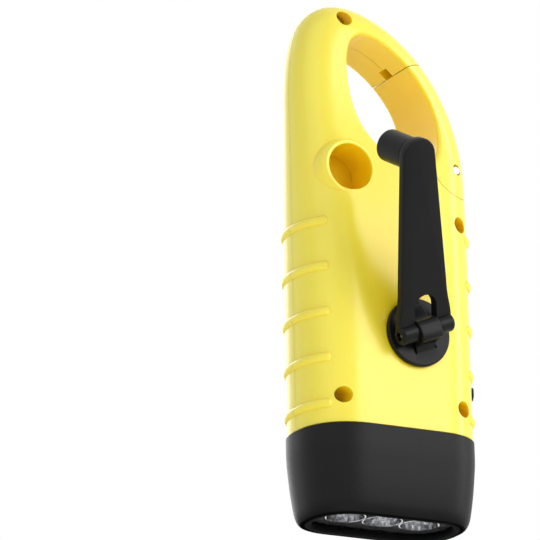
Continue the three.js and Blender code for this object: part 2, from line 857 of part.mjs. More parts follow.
function makeHead() {
  const outside = headProfileShares.map(([up, inward]) => (
    headRing(headFaceInset * inward, up * headHeight)
  ));
  const mouthInset = headFaceInset + rimWidth;
  const mouth = skin([
    headRing(mouthInset - mouthSlope / 2, -mouthDepth / 2),
    headRing(mouthInset + mouthSlope, mouthDepth),
    headRing(mouthInset + mouthSlope, mouthDepth + overrun),
  ]);
  const collarOuter = headProud + shellWall + seatGap;
  const collar = headPlate(collarOuter, headHeight - collarRoot, headHeight + collarRise)
    .subtract(headPlate(collarOuter + collarWall, -overrun, overallLength));
  return skin(outside)
    .subtract(headPlate(headWall, mouthDepth, headHeight + overrun))
    .subtract(mouth)
    .add(collar);
}

const cupPlaces = [-1, 0, 1].map((share) => about(alongZ, share * cupSpacing, 0, 0));

// The reflector: a plate that fills the head, with three cups that narrow towards the lights
function makeReflector() {
  const inside = cupShares.map(([out, up]) => [cupMouth * out, plateFrom + cupDepth * up]);
  const outside = inside.map(([radius, z]) => [radius + cupWall, z]);
  let reflector = headPlate(headWall + seatGap, plateFrom, plateFrom + reflectorPlate);
  cupPlaces.forEach((place) => {
    reflector = reflector.add(turned([[0, plateFrom], ...outside, [0, cupTop]], smallSides + 4, place));
  });
  cupPlaces.forEach((place) => {
    const ends = [[0, plateFrom - overrun], [inside[0][0], plateFrom - overrun]];
    const far = [[inside[3][0], cupTop + overrun], [0, cupTop + overrun]];
    reflector = reflector.subtract(turned([...ends, ...inside, ...far], smallSides + 4, place));
  });
  return reflector;
}

function makeLed(place) {
  const tip = boardFrom - seatGap - ledLength;
  const dome = [0, 1, 2, 3, 4].map((k) => {
    const angle = quarterTurn * k / 4;
    return [ledRadius * Math.sin(angle), tip + ledRadius * (1 - Math.cos(angle))];
  });
  return turned([
    ...dome,
    [ledRadius, flangeFrom],
    [ledFlange, flangeFrom],
    [ledFlange, flangeFrom + ledFlangeHeight],
    [0, flangeFrom + ledFlangeHeight],
  ], smallSides, place);
}

// The bezel's closed profile: up the outer rim, over the groove and ridge, down to the ledge
function makeBezel() {
  const ring = (size, y) => bezelOutline(...size).map((spot) => point(spot.x, y, spot.y));
  const rim = bezelRimShares.map(([inward, down]) => (
    ring(bezelSize(windowInset * inward), -bezelCrest + bezelDepth * down)
  ));
  return skin([
    ring(bezelSize(0), bezelBack),
    ...rim,
    ring(windowSize(ledgeWidth), ledgeBack - ledgeWidth),
    ring(windowSize(0), ledgeBack - ledgeWidth + ledgeDrop),
    ring(windowSize(0), ledgeBack),
    ring(windowSize(rebateWidth), ledgeBack),
    ring(windowSize(rebateWidth), bezelBack),
  ], true);
}

function makeWindow() {
  const outline = bezelOutline(...windowSize(rebateWidth - seatGap));
  const from = ledgeBack + seatGap;
  return prism(outline.filter((_, k) => k < 12 || k > 16), from, from + windowThickness, alongY);
}

function makeCell() {
  const from = ledgeBack + seatGap + windowThickness + seatGap;
  const [half, bottom, top] = windowSize(cellMargin);
  const outline = [flat(-half, bottom), flat(half, bottom), flat(half, top), flat(-half, top)];
  return prism(outline, from, from + cellThickness, alongY);
}

// Gears: thin-toothed outlines with backlash, so that each pair turns freely
function gearOutline(teeth, phase) {
  const pitch = pitchRadius(teeth);
  const tip = pitch + toothTip * gearModule;
  const root = pitch - toothRoot * gearModule;
  const spots = [];
  for (let k = 0; k < teeth; k += 1) {
    const middle = phase + fullTurn * k / teeth;
    [[root, -1.6], [tip, -0.5], [tip, 0.5], [root, 1.6]].forEach(([radius, width]) => {
      const angle = middle + width * toothHalf / pitch;
      spots.push(flat(radius * Math.cos(angle), radius * Math.sin(angle)));
    });
  }
  return spots;
}

const step = (from, teethA, teethB, angle) => {
  const reach = pitchRadius(teethA) + pitchRadius(teethB);
  return flat(from.x + reach * Math.cos(angle), from.y + reach * Math.sin(angle));
};
const crankHeading = quarterTurn - armTurn;
const hubSpot = flat(hubX, hubZ);
const idlerOne = step(hubSpot, driveTeeth, pinionTeeth, idlerOneTurn);
const idlerTwo = step(idlerOne, idlerOneTeeth, pinionTeeth, idlerTwoTurn);
const rotorSpot = step(idlerTwo, idlerTwoTeeth, pinionTeeth, rotorTurn);
const halfTooth = (teeth) => fullTurn / teeth / 2;

function gear(spot, teeth, phase, from, to) {
  return prism(gearOutline(teeth, phase), from, to, about(alongY, spot.x, 0, spot.y));
}

// The drive gear, in the crank's own frame: its bore has the shaft's flat
function makeDriveGear() {
  const phase = idlerOneTurn - crankHeading;
  const body = gear(flat(0, 0), driveTeeth, phase, driveGearAt, driveGearAt + gearThickness);
  const bore = drum(
    shaftRadius + seatGap, driveGearAt - overrun, driveGearAt + overrun, largeSides, alongY,
  );
  const flatSide = block(
    [shaftFlat + seatGap, shaftRadius + overrun],
    [driveGearAt - overrun - skim, driveGearAt + overrun + skim],
    [-shaftRadius - overrun, shaftRadius + overrun],
  );
  return body.subtract(bore.subtract(flatSide));
}

function makeIdler(spot, wheelTeeth, wheelPhase, pinionPhase, wheelAt, pinionFrom, pinionTo) {
  const wheel = gear(spot, wheelTeeth, wheelPhase, wheelAt, wheelAt + gearThickness);
  const pinion = gear(spot, pinionTeeth, pinionPhase, pinionFrom, pinionTo);
  const bore = drum(
    axleRadius + boreGap, frameTop, bodyHalfDepth, smallSides, about(alongY, spot.x, 0, spot.y),
  );
  return wheel.add(pinion).subtract(bore);
}

const pinionOneTop = idlerOneAt + gearThickness + pinionFace + gearThickness;
const pinionTwoTop = idlerOneAt - seatGap + pinionFace;

function makeAxle(spot) {
  const from = frameTop - frameThickness + seatGap / 2;
  const to = shellInside - seatGap - seatGap;
  return drum(axleRadius, from, to, smallSides, about(alongY, spot.x, 0, spot.y));
}

const magnetTop = frameTop - frameThickness - seatGap;
const magnetBottom = statorMargin + bobbinFlange + seatGap - shellInside;
const bobbinInner = magnetRadius + magnetGap;

function makeRotor() {
  const place = about(alongY, rotorSpot.x, 0, rotorSpot.y);
  const phase = rotorTurn + 2 * quarterTurn + halfTooth(pinionTeeth);
  const pinionFrom = idlerTwoAt - seatGap;
  return gear(rotorSpot, pinionTeeth, phase, pinionFrom, idlerTwoAt + gearThickness + seatGap)
    .add(drum(axleRadius, magnetBottom - bobbinFlange, pinionFrom + skim, smallSides, place))
    .add(drum(magnetRadius, magnetBottom, magnetTop, 24, place));
}

function makeStator() {
  const place = about(alongY, rotorSpot.x, 0, rotorSpot.y);
  const base = magnetBottom - seatGap - bobbinFlange;
  const core = bobbinInner + bobbinCore;
  return turned([
    [axleRadius + boreGap, base],
    [bobbinRadius, base],
    [bobbinRadius, base + bobbinFlange],
    [core, base + bobbinFlange],
    [core, magnetTop - bobbinFlange],
    [bobbinRadius, magnetTop - bobbinFlange],
    [bobbinRadius, magnetTop],
    [bobbinInner, magnetTop],
    [bobbinInner, base + bobbinFlange],
    [axleRadius + boreGap, base + bobbinFlange],
  ], 24, place);
}

function makeCoil() {
  const place = about(alongY, rotorSpot.x, 0, rotorSpot.y);
  const base = magnetBottom - seatGap;
  const core = bobbinInner + bobbinCore + seatGap;
  return ringDrum(core, core + coilDepth, base + seatGap, magnetTop - bobbinFlange - seatGap, 24, place);
}

function makeGearFrame() {
  const from = frameTop - frameThickness;
  const corners = [[1, 1], [-1, 1], [-1, -1], [1, -1]];
  const outline = corners.flatMap(([sx, sz], k) => arc(
    flat(
      sx * (frameHalfWidth - frameCorner),
      frameBottom + frameHeight / 2 + sz * (frameHeight / 2 - frameCorner),
    ),
    frameCorner,
    k * quarterTurn,
    (k + 1) * quarterTurn,
    3,
  ));
  let frame = prism(outline, from, frameTop, alongY);
  const hole = (spot, radius) => drum(
    radius, from - overrun, frameTop + overrun / 3, smallSides, about(alongY, spot.x, 0, spot.y),
  );
  [idlerOne, idlerTwo, rotorSpot].forEach((spot) => {
    frame = frame.subtract(hole(spot, axleRadius + boreGap));
  });
  return frame;
}

function makeBattery() {
  const place = about(alongX, 0, batteryY, batteryZ);
  return turned([
    [0, batteryFrom],
    [batteryRadius, batteryFrom],
    [batteryRadius, batteryTo - batteryCap],
    [batteryCapRadius, batteryTo - batteryCap],
    [batteryCapRadius, batteryTo],
    [0, batteryTo],
  ], 24, place);
}

function makeSwitch() {
  const from = boardY + boardThickness + seatGap;
  const box = block(
    [switchLeft, switchLeft + switchLength],
    [from, from + switchDepth],
    [buttonZ - switchHeight / 2, buttonZ + switchHeight / 2],
  );
  const plunger = drum(
    plungerRadius, switchLeft - plungerReach, switchLeft + skim, smallSides,
    about(alongX, 0, from + switchDepth / 2, buttonZ),
  );
  return box.add(plunger);
}

// The button: a pill that follows the side's curve, with a flange behind the wall and a stem
function makeButton() {
  const place = about(alongX, 0, 0, buttonZ);
  const inner = shellWall + seatGap + buttonFlange;
  const face = prism(
    pill(buttonHalfLength, buttonHalfHeight, 6), -bodyHalfWidth - overrun, -bodyHalfWidth / 2, place,
  );
  const flange = prism(
    pill(buttonHalfLength + buttonFlangeMargin, buttonHalfHeight + buttonFlangeMargin, 6),
    -bodyHalfWidth - overrun,
    -bodyHalfWidth / 2,
    place,
  );
  const stemY = boardY + boardThickness + seatGap + switchDepth / 2;
  const stem = drum(
    buttonStem, inner - bodyHalfWidth - skim - buttonFlange / 2, inner + buttonStemReach - bodyHalfWidth,
    smallSides, about(alongX, 0, stemY, buttonZ),
  );
  const flangePlate = flange.intersect(bodyForm(shellWall + seatGap));
  return face.intersect(bodyForm(-buttonProud)).add(flangePlate).subtract(bodyForm(inner)).add(stem);
}

// Hub and crank in the crank's own frame: X along the arm, Y out of the back, Z along the hinge
function makeHub() {
  const disc = turned([
    [0, discFrom],
    [hubRadius, discFrom],
    [hubRadius, discTo - hubEdge],
    [hubRadius - hubEdge, discTo],
    [0, discTo],
  ], largeSides, alongY);
  const shaft = drum(shaftRadius, shaftEnd, discFrom + skim, largeSides, alongY);
  const cutFlat = block(
    [shaftFlat, shaftRadius + overrun],
    [shaftEnd - overrun, shaftFlatTop],
    [-shaftRadius - overrun, shaftRadius + overrun],
  );
  const onBlock = ([out, up]) => flat(hubRadius * out, discTo - skim + hingeRise * up);
  const outline = [
    ...hubTongueShares.map(onBlock),
    ...arc(flat(0, hingeY), hingeRise, -quarterTurn / 5, 2.2 * quarterTurn, 12),
    ...hubFootShares.map(onBlock).reverse(),
  ];
  const hinge = prism(outline, -hubBlockHalf, hubBlockHalf, alongZ);
  const bore = drum(
    hingePinRadius + boreGap, -hubBlockHalf - overrun, hubBlockHalf + overrun, smallSides,
    about(alongZ, 0, hingeY, 0),
  );
  return disc.add(shaft.subtract(cutFlat)).add(hinge).subtract(bore);
}

const shoulderSteps = 8;

// The arm about its hinge: a flared plate with two knuckles, a window between them and a stub
function makeArm() {
  const shoulder = new THREE.CubicBezierCurve(...armSideShares.map(([along, across]) => (
    flat(armLength * along, knuckleHalf * across)
  )));
  const upper = shoulder.getPoints(shoulderSteps);
  const tip = arc(flat(armLength, 0), armTipRadius, quarterTurn, -quarterTurn, 10);
  const lower = [...upper].reverse().map((spot) => flat(spot.x, -spot.y));
  const outline = [...upper, ...tip, ...lower].reverse();
  const windowHalf = hubBlockHalf + seatGap;
  const windowEnd = arc(
    flat(armWindowReach - windowHalf, 0), windowHalf, -quarterTurn, quarterTurn, 8,
  );
  const window = [
    flat(-hingeRise - overrun, -windowHalf),
    ...windowEnd,
    flat(-hingeRise - overrun, windowHalf),
  ];
  const thick = (spots, from, to, edge) => slab(spots, from, to, edge, (u, v, w) => point(u, w, v));
  const knuckleRadius = hingeRise - seatGap;
  return thick(outline, -armInner, armOuter, armEdge)
    .add(drum(knuckleRadius, -knuckleHalf, knuckleHalf, 24, alongZ))
    .subtract(prism(window, -hingeRise - overrun, hingeRise + overrun, alongY))
    .subtract(drum(
      hingePinRadius + boreGap, -knuckleHalf - overrun, knuckleHalf + overrun, smallSides, alongZ,
    ))
    .add(drum(
      stubRadius, seatGap + seatGap - knobBore - armInner, -armInner + skim, smallSides,
      about(alongY, armLength, 0, 0),
    ));
}

// The knob on its stub: bored from the arm's side, with a slightly domed closed end
function makeKnob() {
  const top = -armInner - seatGap;
  const bottom = top - knobLength;
  const bore = stubRadius + seatGap;
  return turned([
    [bore, top],
    [knobRadius - armEdge, top],
    [knobRadius, top - armEdge],
    [knobRadius, bottom + knobDome + armEdge],
    [knobRadius - armEdge, bottom + knobDome],
    [knobRadius / 2, bottom + knobDome / 3],
    [0, bottom],
    [0, top - knobBore],
    [bore, top - knobBore],
  ], 28, alongY);
}

function makeScrew(spot) {
  const place = about(alongY, spot.x, 0, spot.y);
  const seat = screwFloor + seatGap;
  return turned([
    [0, -screwReach],
    [screwRadius, -screwReach + screwRadius],
    [screwRadius, seat],
    [screwHeadRadius, seat],
    [screwHeadRadius, seat + screwHeadHeight - hubEdge],
    [screwHeadRadius - hubEdge, seat + screwHeadHeight],
    [0, seat + screwHeadHeight],
  ], smallSides, place);
}

// Assembly
const light = new THREE.Group();

function piece(parent, name, solid, material) {
  const { vertProperties, triVerts } = solid.getMesh();
  const geometry = new THREE.BufferGeometry();
  geometry.setAttribute('position', new THREE.BufferAttribute(new Float32Array(vertProperties), 3));
  geometry.setIndex(new THREE.BufferAttribute(new Uint32Array(triVerts), 1));
  const mesh = new THREE.Mesh(geometry, material);
  mesh.name = name;
  parent.add(mesh);
}

const shells = makeShells();
piece(light, 'front_shell', shells.front, yellowPlastic);
piece(light, 'back_shell', shells.back, yellowPlastic);
Object.entries(screwSpots).forEach(([name, spot]) => {
  piece(light, `screw_${name}`, makeScrew(spot), steel);
});

const gatePinHalf = depthAtInset(bodyHalfWidth + gatePin.x, gatePin.y) - gatePinRecess;
piece(light, 'gate', makeGate(), yellowPlastic);
piece(light, 'gate_pin', drum(gatePinRadius, -gatePinHalf, gatePinHalf, smallSides, atGatePin), steel);
piece(light, 'gate_spring', makeGateSpring(), steel);

piece(light, 'head_cap', makeHead(), blackPlastic);
piece(light, 'lens', headPlate(headWall + seatGap, lensFrom, lensFrom + lensThickness), clearPlastic);
piece(light, 'reflector', makeReflector(), silvered);
['led_left', 'led_centre', 'led_right'].forEach((name, k) => {
  piece(light, name, makeLed(cupPlaces[k]), clearPlastic);
});
const ledBoard = headPlate(headWall + seatGap, boardFrom, boardFrom + ledBoardThickness);
piece(light, 'led_board', ledBoard, boardGreen);

piece(light, 'solar_bezel', makeBezel(), blackPlastic);
piece(light, 'solar_window', makeWindow(), clearPlastic);
piece(light, 'solar_cell', makeCell(), cellGlass);

piece(light, 'idler_gear_one', makeIdler(
  idlerOne,
  idlerOneTeeth,
  idlerTwoTurn,
  idlerOneTurn + 2 * quarterTurn + halfTooth(pinionTeeth),
  idlerOneAt,
  idlerOneAt + gearThickness - skim,
  pinionOneTop,
), whiteNylon);
piece(light, 'idler_gear_two', makeIdler(
  idlerTwo,
  idlerTwoTeeth,
  rotorTurn,
  idlerTwoTurn + 2 * quarterTurn + halfTooth(pinionTeeth),
  idlerTwoAt,
  idlerTwoAt + gearThickness - skim,
  pinionTwoTop,
), whiteNylon);
piece(light, 'idler_axle_one', makeAxle(idlerOne), steel);
piece(light, 'idler_axle_two', makeAxle(idlerTwo), steel);
piece(light, 'rotor', makeRotor(), magnetGrey);
piece(light, 'stator', makeStator(), blackPlastic);
piece(light, 'stator_coil', makeCoil(), copper);
piece(light, 'gear_frame', makeGearFrame(), whiteNylon);

piece(light, 'battery', makeBattery(), batteryWrap);
const controlBoard = block(
  [boardLeft, boardRight], [boardY, boardY + boardThickness], [boardBottom, boardTop],
);
piece(light, 'control_board', controlBoard, boardGreen);
piece(light, 'switch', makeSwitch(), blackPlastic);
piece(light, 'side_button', makeButton(), blackPlastic);

// The crank: the hub turned to the arm's heading, the arm tilted up about its hinge
const crank = new THREE.Group();
crank.position.set(hubX, 0, hubZ);
crank.rotation.y = -crankHeading;
light.add(crank);
piece(crank, 'crank_hub', makeHub(), blackPlastic);
piece(crank, 'drive_gear', makeDriveGear(), whiteNylon);

const arm = new THREE.Group();
arm.position.y = hingeY;
arm.rotation.z = armTilt;
crank.add(arm);
const hingePinHalf = knuckleHalf - hingePinInset;
piece(arm, 'crank_arm', makeArm(), blackPlastic);
piece(arm, 'hinge_pin', drum(hingePinRadius, -hingePinHalf, hingePinHalf, smallSides, alongZ), steel);

const knob = new THREE.Group();
knob.position.x = armLength;
arm.add(knob);
piece(knob, 'crank_knob', makeKnob(), blackPlastic);

// The origin goes under the middle of the whole light, on the face it stands on
light.updateMatrixWorld(true);
const middle = new THREE.Box3().setFromObject(light, true).getCenter(point(0, 0, 0));
light.position.set(-middle.x, -middle.y, 0);

export default light;
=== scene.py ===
# %% [markdown]
# # A hand crank flashlight
# This light has a yellow moulded housing that ends in a carabiner hook, a black lamp head with three
# lights, a solar panel on one side and a folding crank on the other. Its solids come from the CAD model.
# Here each one that shows gets a smooth skin and a finish, and the light gets a small studio.
#
# We could smooth the CAD meshes themselves, but they are made of few flat faces. So the visible pieces
# are worked out again from the same curves, with many more points, and the hidden ones keep their mesh.

# %% Load the fixed frame
import json
import math

import bmesh
import bpy
import numpy as np
from mathutils import Matrix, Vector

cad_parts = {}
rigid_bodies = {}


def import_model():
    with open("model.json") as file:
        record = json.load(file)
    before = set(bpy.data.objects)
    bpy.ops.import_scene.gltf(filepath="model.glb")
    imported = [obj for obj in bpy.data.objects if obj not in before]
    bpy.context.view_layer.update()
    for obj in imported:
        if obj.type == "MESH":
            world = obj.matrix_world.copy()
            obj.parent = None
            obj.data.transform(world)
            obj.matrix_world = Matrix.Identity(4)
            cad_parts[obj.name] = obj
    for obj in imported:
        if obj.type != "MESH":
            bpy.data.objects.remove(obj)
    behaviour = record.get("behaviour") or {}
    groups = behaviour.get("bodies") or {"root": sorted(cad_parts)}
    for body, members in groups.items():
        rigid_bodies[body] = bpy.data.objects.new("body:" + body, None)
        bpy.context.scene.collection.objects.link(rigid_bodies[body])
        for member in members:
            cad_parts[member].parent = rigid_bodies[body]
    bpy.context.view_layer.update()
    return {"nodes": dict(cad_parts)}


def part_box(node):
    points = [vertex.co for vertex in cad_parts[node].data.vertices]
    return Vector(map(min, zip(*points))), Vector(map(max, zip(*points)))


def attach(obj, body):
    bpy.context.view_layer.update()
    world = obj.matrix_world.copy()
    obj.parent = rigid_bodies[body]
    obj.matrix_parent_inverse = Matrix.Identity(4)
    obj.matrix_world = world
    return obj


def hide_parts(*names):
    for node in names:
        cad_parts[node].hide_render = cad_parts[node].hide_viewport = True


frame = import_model()
nodes = frame["nodes"]

# %% [markdown]
# ## Camera
# The photo looks at the crank side a little from below, with a long lens. A long lens far away keeps the
# housing's sides nearly parallel. We could aim a camera by hand, but the photo was measured once, so its
# place and its three directions are written down.


# %% Camera at the photo's place
def stand(data, axes, place):
    """A new object at a place in the scene, whose X, Y and Z point along three given directions."""
    held = bpy.data.objects.new(data.name, data)
    bpy.context.scene.collection.objects.link(held)
    turn = np.eye(4)
    turn[:3, :3] = np.stack(axes, axis=1)
    turn[:3, 3] = place
    held.matrix_world = Matrix(turn.tolist())
    return held


camera_data = bpy.data.cameras.new("studio camera")
camera_data.sensor_width = 36
camera_data.lens = 333.233
camera_data.clip_start = 0.01
camera_place = np.array([0.58893, 1.03160, -0.31074])
look = np.array([-0.44922, -0.84134, 0.30059])
sideways = np.array([-0.88484, 0.46549, -0.01948])
upward = np.array([0.12353, 0.27472, 0.95355])
bpy.context.scene.camera = stand(camera_data, [sideways, upward, -look], camera_place)
print("camera stands", round(float(np.linalg.norm(camera_place)), 3), "m from the light")

# %% [markdown]
# ## Drawing lengths
# The curves of the housing were drawn in millimetres about its own middle. These are their sizes. The CAD
# pin of the gate tells where that middle lies in the frame, so nothing has to be fitted by eye.

# %% Lengths of the drawing
MM = 1000
QUARTER, TURN = math.pi / 2, 2 * math.pi
HALF_WIDTH, HALF_DEPTH, HOOK_HALF_DEPTH = 23.8, 14.2, 9.6
WALL, HEAD_HEIGHT, SEAT_GAP, BORE_GAP = 1.8, 22.0, 0.3, 0.25
TAPER_FROM, HOOK_FROM, HOOK_HEIGHT, TAPER_SHARE = 67.0, 90.0, 45.0, 0.61
TAPER_TO = HOOK_FROM + TAPER_SHARE * HOOK_HEIGHT
FULL_HEIGHT = HOOK_FROM + HOOK_HEIGHT
CORNER_SHARE, CORNER_POWER = 1.01, 2.36
FAR, SKIM = 3.0, 0.02
print("housing", 2 * HALF_WIDTH, "by", 2 * HALF_DEPTH, "by", FULL_HEIGHT, "mm")


# %% Curves of the hook
def hook_spot(across, up):
    """A place on the hook: a share of the half width across and of the hook's height up."""
    return np.array([HALF_WIDTH * across, HOOK_FROM + HOOK_HEIGHT * up])


def hook_line(*shares):
    """Several such places in one array."""
    return np.array([hook_spot(*share) for share in shares])


LEFT_CURVE = hook_line((-1, 0), (-1, 0.667), (-0.042, 1), (0.462, 1))
RIGHT_CURVE = hook_line((1, 0.4), (1, 0.778), (0.903, 1), (0.462, 1))
OPENING = hook_line(
    (0.491, 0.604), (0.489, 0.71), (0.445, 0.807), (0.281, 0.8), (-0.005, 0.788), (-0.554, 0.562),
    (-0.565, 0.268), (-0.573, 0.152), (-0.475, 0.048), (-0.291, 0.055), (0.224, 0.073), (0.482, 0.254))
OPENING_ROUND = 1.3
GATE_PIN = hook_spot(-0.779, 0.068)
pin_low, pin_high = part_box("gate_pin")
pin_middle = MM / 2 * (np.array(pin_low) + np.array(pin_high))
SHIFT = np.array([pin_middle[0] - GATE_PIN[0], pin_middle[1], 0.0])
print("the drawing's middle lies at", np.round(SHIFT, 3), "mm in the frame")

# %% [markdown]
# ## Tools for solids
# A moulded housing is a hollow form with openings, posts and wells. In a workshop it would be carved,
# and Boolean modifiers carve here in the same way: a closed solid is joined to another, cut by it, or
# kept where both are. Each solid starts as a stack of rings, worked out as one array.

# %% A workshop for solids
SAME_SPOT, SAME_PLACE, NO_AREA = 2e-4, 1e-6, 1e-3
workshop = bpy.data.collections.new("workshop")
bpy.context.scene.collection.children.link(workshop)


def hold(mesh):
    """A workshop object that holds a mesh."""
    held = bpy.data.objects.new("solid", mesh)
    workshop.objects.link(held)
    return held


def use_up(held):
    """Removes a workshop object and its mesh."""
    mesh = held.data
    bpy.data.objects.remove(held)
    bpy.data.meshes.remove(mesh)


def mended(mesh, merge=0.0, outwards=False, triangles=False):
    """The mesh with near points made one, its faces turned outwards, or each face cut into triangles."""
    shape = bmesh.new()
    shape.from_mesh(mesh)
    if merge:
        bmesh.ops.remove_doubles(shape, verts=shape.verts, dist=merge)
    if outwards:
        bmesh.ops.recalc_face_normals(shape, faces=shape.faces)
    if triangles:
        bmesh.ops.triangulate(shape, faces=shape.faces)
    shape.to_mesh(mesh)
    shape.free()
    return mesh


print("the workshop is open")


# %% Solids from rings of points
def ring_faces(levels, count, loop=False):
    """Quads between neighbouring rings of a stack; a looped stack also closes on its first ring."""
    ids = np.arange(levels * count).reshape(levels, count)
    upper = np.roll(ids, -1, axis=0) if loop else ids[1:]
    lower = ids if loop else ids[:-1]
    quads = np.stack([lower, np.roll(lower, -1, 1), np.roll(upper, -1, 1), upper], axis=-1)
    return quads.reshape(-1, 4).tolist()


def ring_area(ring):
    """Length of the ring's area vector: half the sum of the cross products of neighbours."""
    ring = ring - ring.mean(0)
    return float(np.linalg.norm(np.cross(ring, np.roll(ring, -1, 0)).sum(0))) / 2


def stack(rings, loop=False):
    """A closed solid over rings of points (levels, points, 3), capped at both ends that have an area."""
    rings = np.asarray(rings, float)
    levels, count = rings.shape[:2]
    faces = ring_faces(levels, count, loop)
    if not loop:
        for level, way in ((0, -1), (levels - 1, 1)):
            if ring_area(rings[level]) > NO_AREA:
                faces.append(list(range(level * count, (level + 1) * count))[::way])
    mesh = bpy.data.meshes.new("solid")
    mesh.from_pydata(rings.reshape(-1, 3).tolist(), [], faces)
    return hold(mended(mesh, merge=SAME_SPOT, outwards=True))


print("two rings of 8 points give", len(ring_faces(2, 8)), "quads")


# %% Join and cut
def result_of(base, tool, way):
    """What a Boolean modifier makes of two solids; both are used up."""
    cut = base.modifiers.new("carve", "BOOLEAN")
    cut.operation, cut.solver, cut.object = way, "MANIFOLD", tool
    graph = bpy.context.evaluated_depsgraph_get()
    mesh = bpy.data.meshes.new_from_object(base.evaluated_get(graph))
    use_up(base)
    use_up(tool)
    return hold(mesh)


def copy_of(shape):
    """A second workshop solid of the same form."""
    return hold(shape.data.copy())


def joined(base, *others):
    """The union of solids."""
    for other in others:
        base = result_of(base, other, "UNION")
    return base


def carved(base, *tools):
    """The first solid without the others."""
    for tool in tools:
        base = result_of(base, tool, "DIFFERENCE")
    return base


def common(base, other):
    """Where both solids are."""
    return result_of(base, other, "INTERSECT")


print("ways to combine solids:", [way.__name__ for way in (joined, carved, common)])

# %% [markdown]
# ## Lines and simple sweeps
# Most pieces are flat outlines carried along a straight line, or profiles turned about an axis. A smooth
# line through a few measured points is a Catmull-Rom curve, which passes through every one of them.


# %% Smooth lines
def bezier(points, t):
    """Cubic Bezier curve: the four points weighted by the Bernstein shares of t."""
    s = 1 - t
    return np.stack([s**3, 3 * s * s * t, 3 * s * t * t, t**3], -1) @ np.asarray(points, float)


def bezier_heading(points, t):
    """Unit direction of a Bezier curve: the differences of its points weighted by squares of t."""
    s = 1 - t
    ahead = np.stack([s * s, 2 * s * t, t * t], -1) @ np.diff(np.asarray(points, float), axis=0)
    return ahead / np.linalg.norm(ahead, axis=-1, keepdims=True)


def smooth_line(points, steps):
    """Catmull-Rom curve through the points, with its ends doubled, as steps points for each span."""
    p = np.asarray(points, float)
    p = np.vstack([2 * p[0] - p[1], p, 2 * p[-1] - p[-2]])
    t = np.linspace(0, 1, steps, endpoint=False)[:, None, None]
    a, b, c, d = p[:-3], p[1:-2], p[2:-1], p[3:]
    line = 0.5 * (2 * b + (c - a) * t + (2 * a - 5 * b + 4 * c - d) * t**2
                  + (3 * b - a - 3 * c + d) * t**3)
    return np.vstack([line.transpose(1, 0, 2).reshape(-1, p.shape[1]), p[-2]])


def arc(centre, radius, start, end, steps):
    """Points of a circle's arc, both ends included."""
    angle = np.linspace(start, end, steps + 1)
    return np.asarray(centre) + radius * np.stack([np.cos(angle), np.sin(angle)], -1)


def quarter_round(steps):
    """1 - cos, which grows from 0 to 1 over a quarter turn, and 1 - sin, which falls from 1 to 0."""
    angle = np.linspace(0, QUARTER, steps + 1)
    return 1 - np.cos(angle), 1 - np.sin(angle)


def soft_corner(outer, top, edge, steps=6):
    """A quarter circle between the side of a turned profile and its end."""
    inward, down = quarter_round(steps)
    return np.stack([outer - edge * inward, top - edge * down], -1)


def right_of(ahead):
    """Flat directions turned a quarter to the right: (u, v) becomes (v, -u)."""
    return np.stack([ahead[..., 1], -ahead[..., 0]], -1)


print("a curve through three points has", len(smooth_line([(0, 0), (1, 1), (2, 0)], 8)), "points")


# %% Prisms
def along_x(u, v, w):
    """Flat spots (u, v) become (Y, Z), and the height w runs along X."""
    return np.stack(np.broadcast_arrays(w, u, v), -1)


def along_y(u, v, w):
    """Flat spots (u, v) become (X, Z), and the height w runs along Y."""
    return np.stack(np.broadcast_arrays(u, w, v), -1)


def along_z(u, v, w):
    """Flat spots (u, v) become (X, Y), and the height w runs along Z."""
    return np.stack(np.broadcast_arrays(u, v, w), -1)


def raised(spots, place, height):
    """Flat spots carried to a height, in one of the three ways above."""
    return place(spots[..., 0], spots[..., 1], height)


def prism(outline, low, high, place, centre=(0, 0, 0)):
    """A flat outline carried straight from one height to another."""
    outline = np.asarray(outline, float)
    heights = np.array([[low], [high]], float)
    return stack(raised(outline[None], place, heights) + np.asarray(centre, float))


def pillow(outline, low, high, edge, place, steps=5):
    """A prism whose edges are quarter circles: near each end the outline draws in by 1 - sin."""
    rise, inward = quarter_round(steps)
    inward = edge * np.concatenate([inward, inward[::-1]])
    heights = np.concatenate([low + edge * rise, high - edge * rise[::-1]])
    chord = np.roll(outline, -1, 0) - np.roll(outline, 1, 0)
    chord /= np.linalg.norm(chord, axis=1, keepdims=True)
    spots = outline[None] - inward[:, None, None] * right_of(chord)[None]
    return stack(raised(spots, place, heights[:, None]))


def block(x, y, z):
    """A box between two values on each axis, used to carve."""
    outline = [(x[0], y[0]), (x[1], y[0]), (x[1], y[1]), (x[0], y[1])]
    return prism(outline, z[0], z[1], along_z)


print("outlines can be carried", [way.__name__ for way in (along_x, along_y, along_z)])


# %% Turned solids
def turned(profile, sides, place, centre=(0, 0, 0)):
    """A closed profile of radius and height carried once round its axis."""
    profile = np.asarray(profile, float)
    angle = TURN * np.arange(sides)[:, None] / sides
    radius, height = profile[None, :, 0], profile[None, :, 1]
    rings = place(radius * np.cos(angle), radius * np.sin(angle), height + 0 * angle)
    return stack(rings + np.asarray(centre, float), loop=True)


def drum(radius, low, high, place, centre=(0, 0, 0), sides=64):
    """A round bar, used as a tool or as a part of a piece."""
    return turned([(0, low), (radius, low), (radius, high), (0, high)], sides, place, centre)


def at(spot):
    """A place on the flat drawing as a centre in space."""
    return np.array([spot[0], 0.0, spot[1]])


def gate_drum(radius, half, sides):
    """A round bar about the gate's pin, as far to one side as to the other."""
    return drum(radius, -half, half, along_y, at(GATE_PIN), sides)


print("the gate's pin stands at", np.round(at(GATE_PIN), 2))

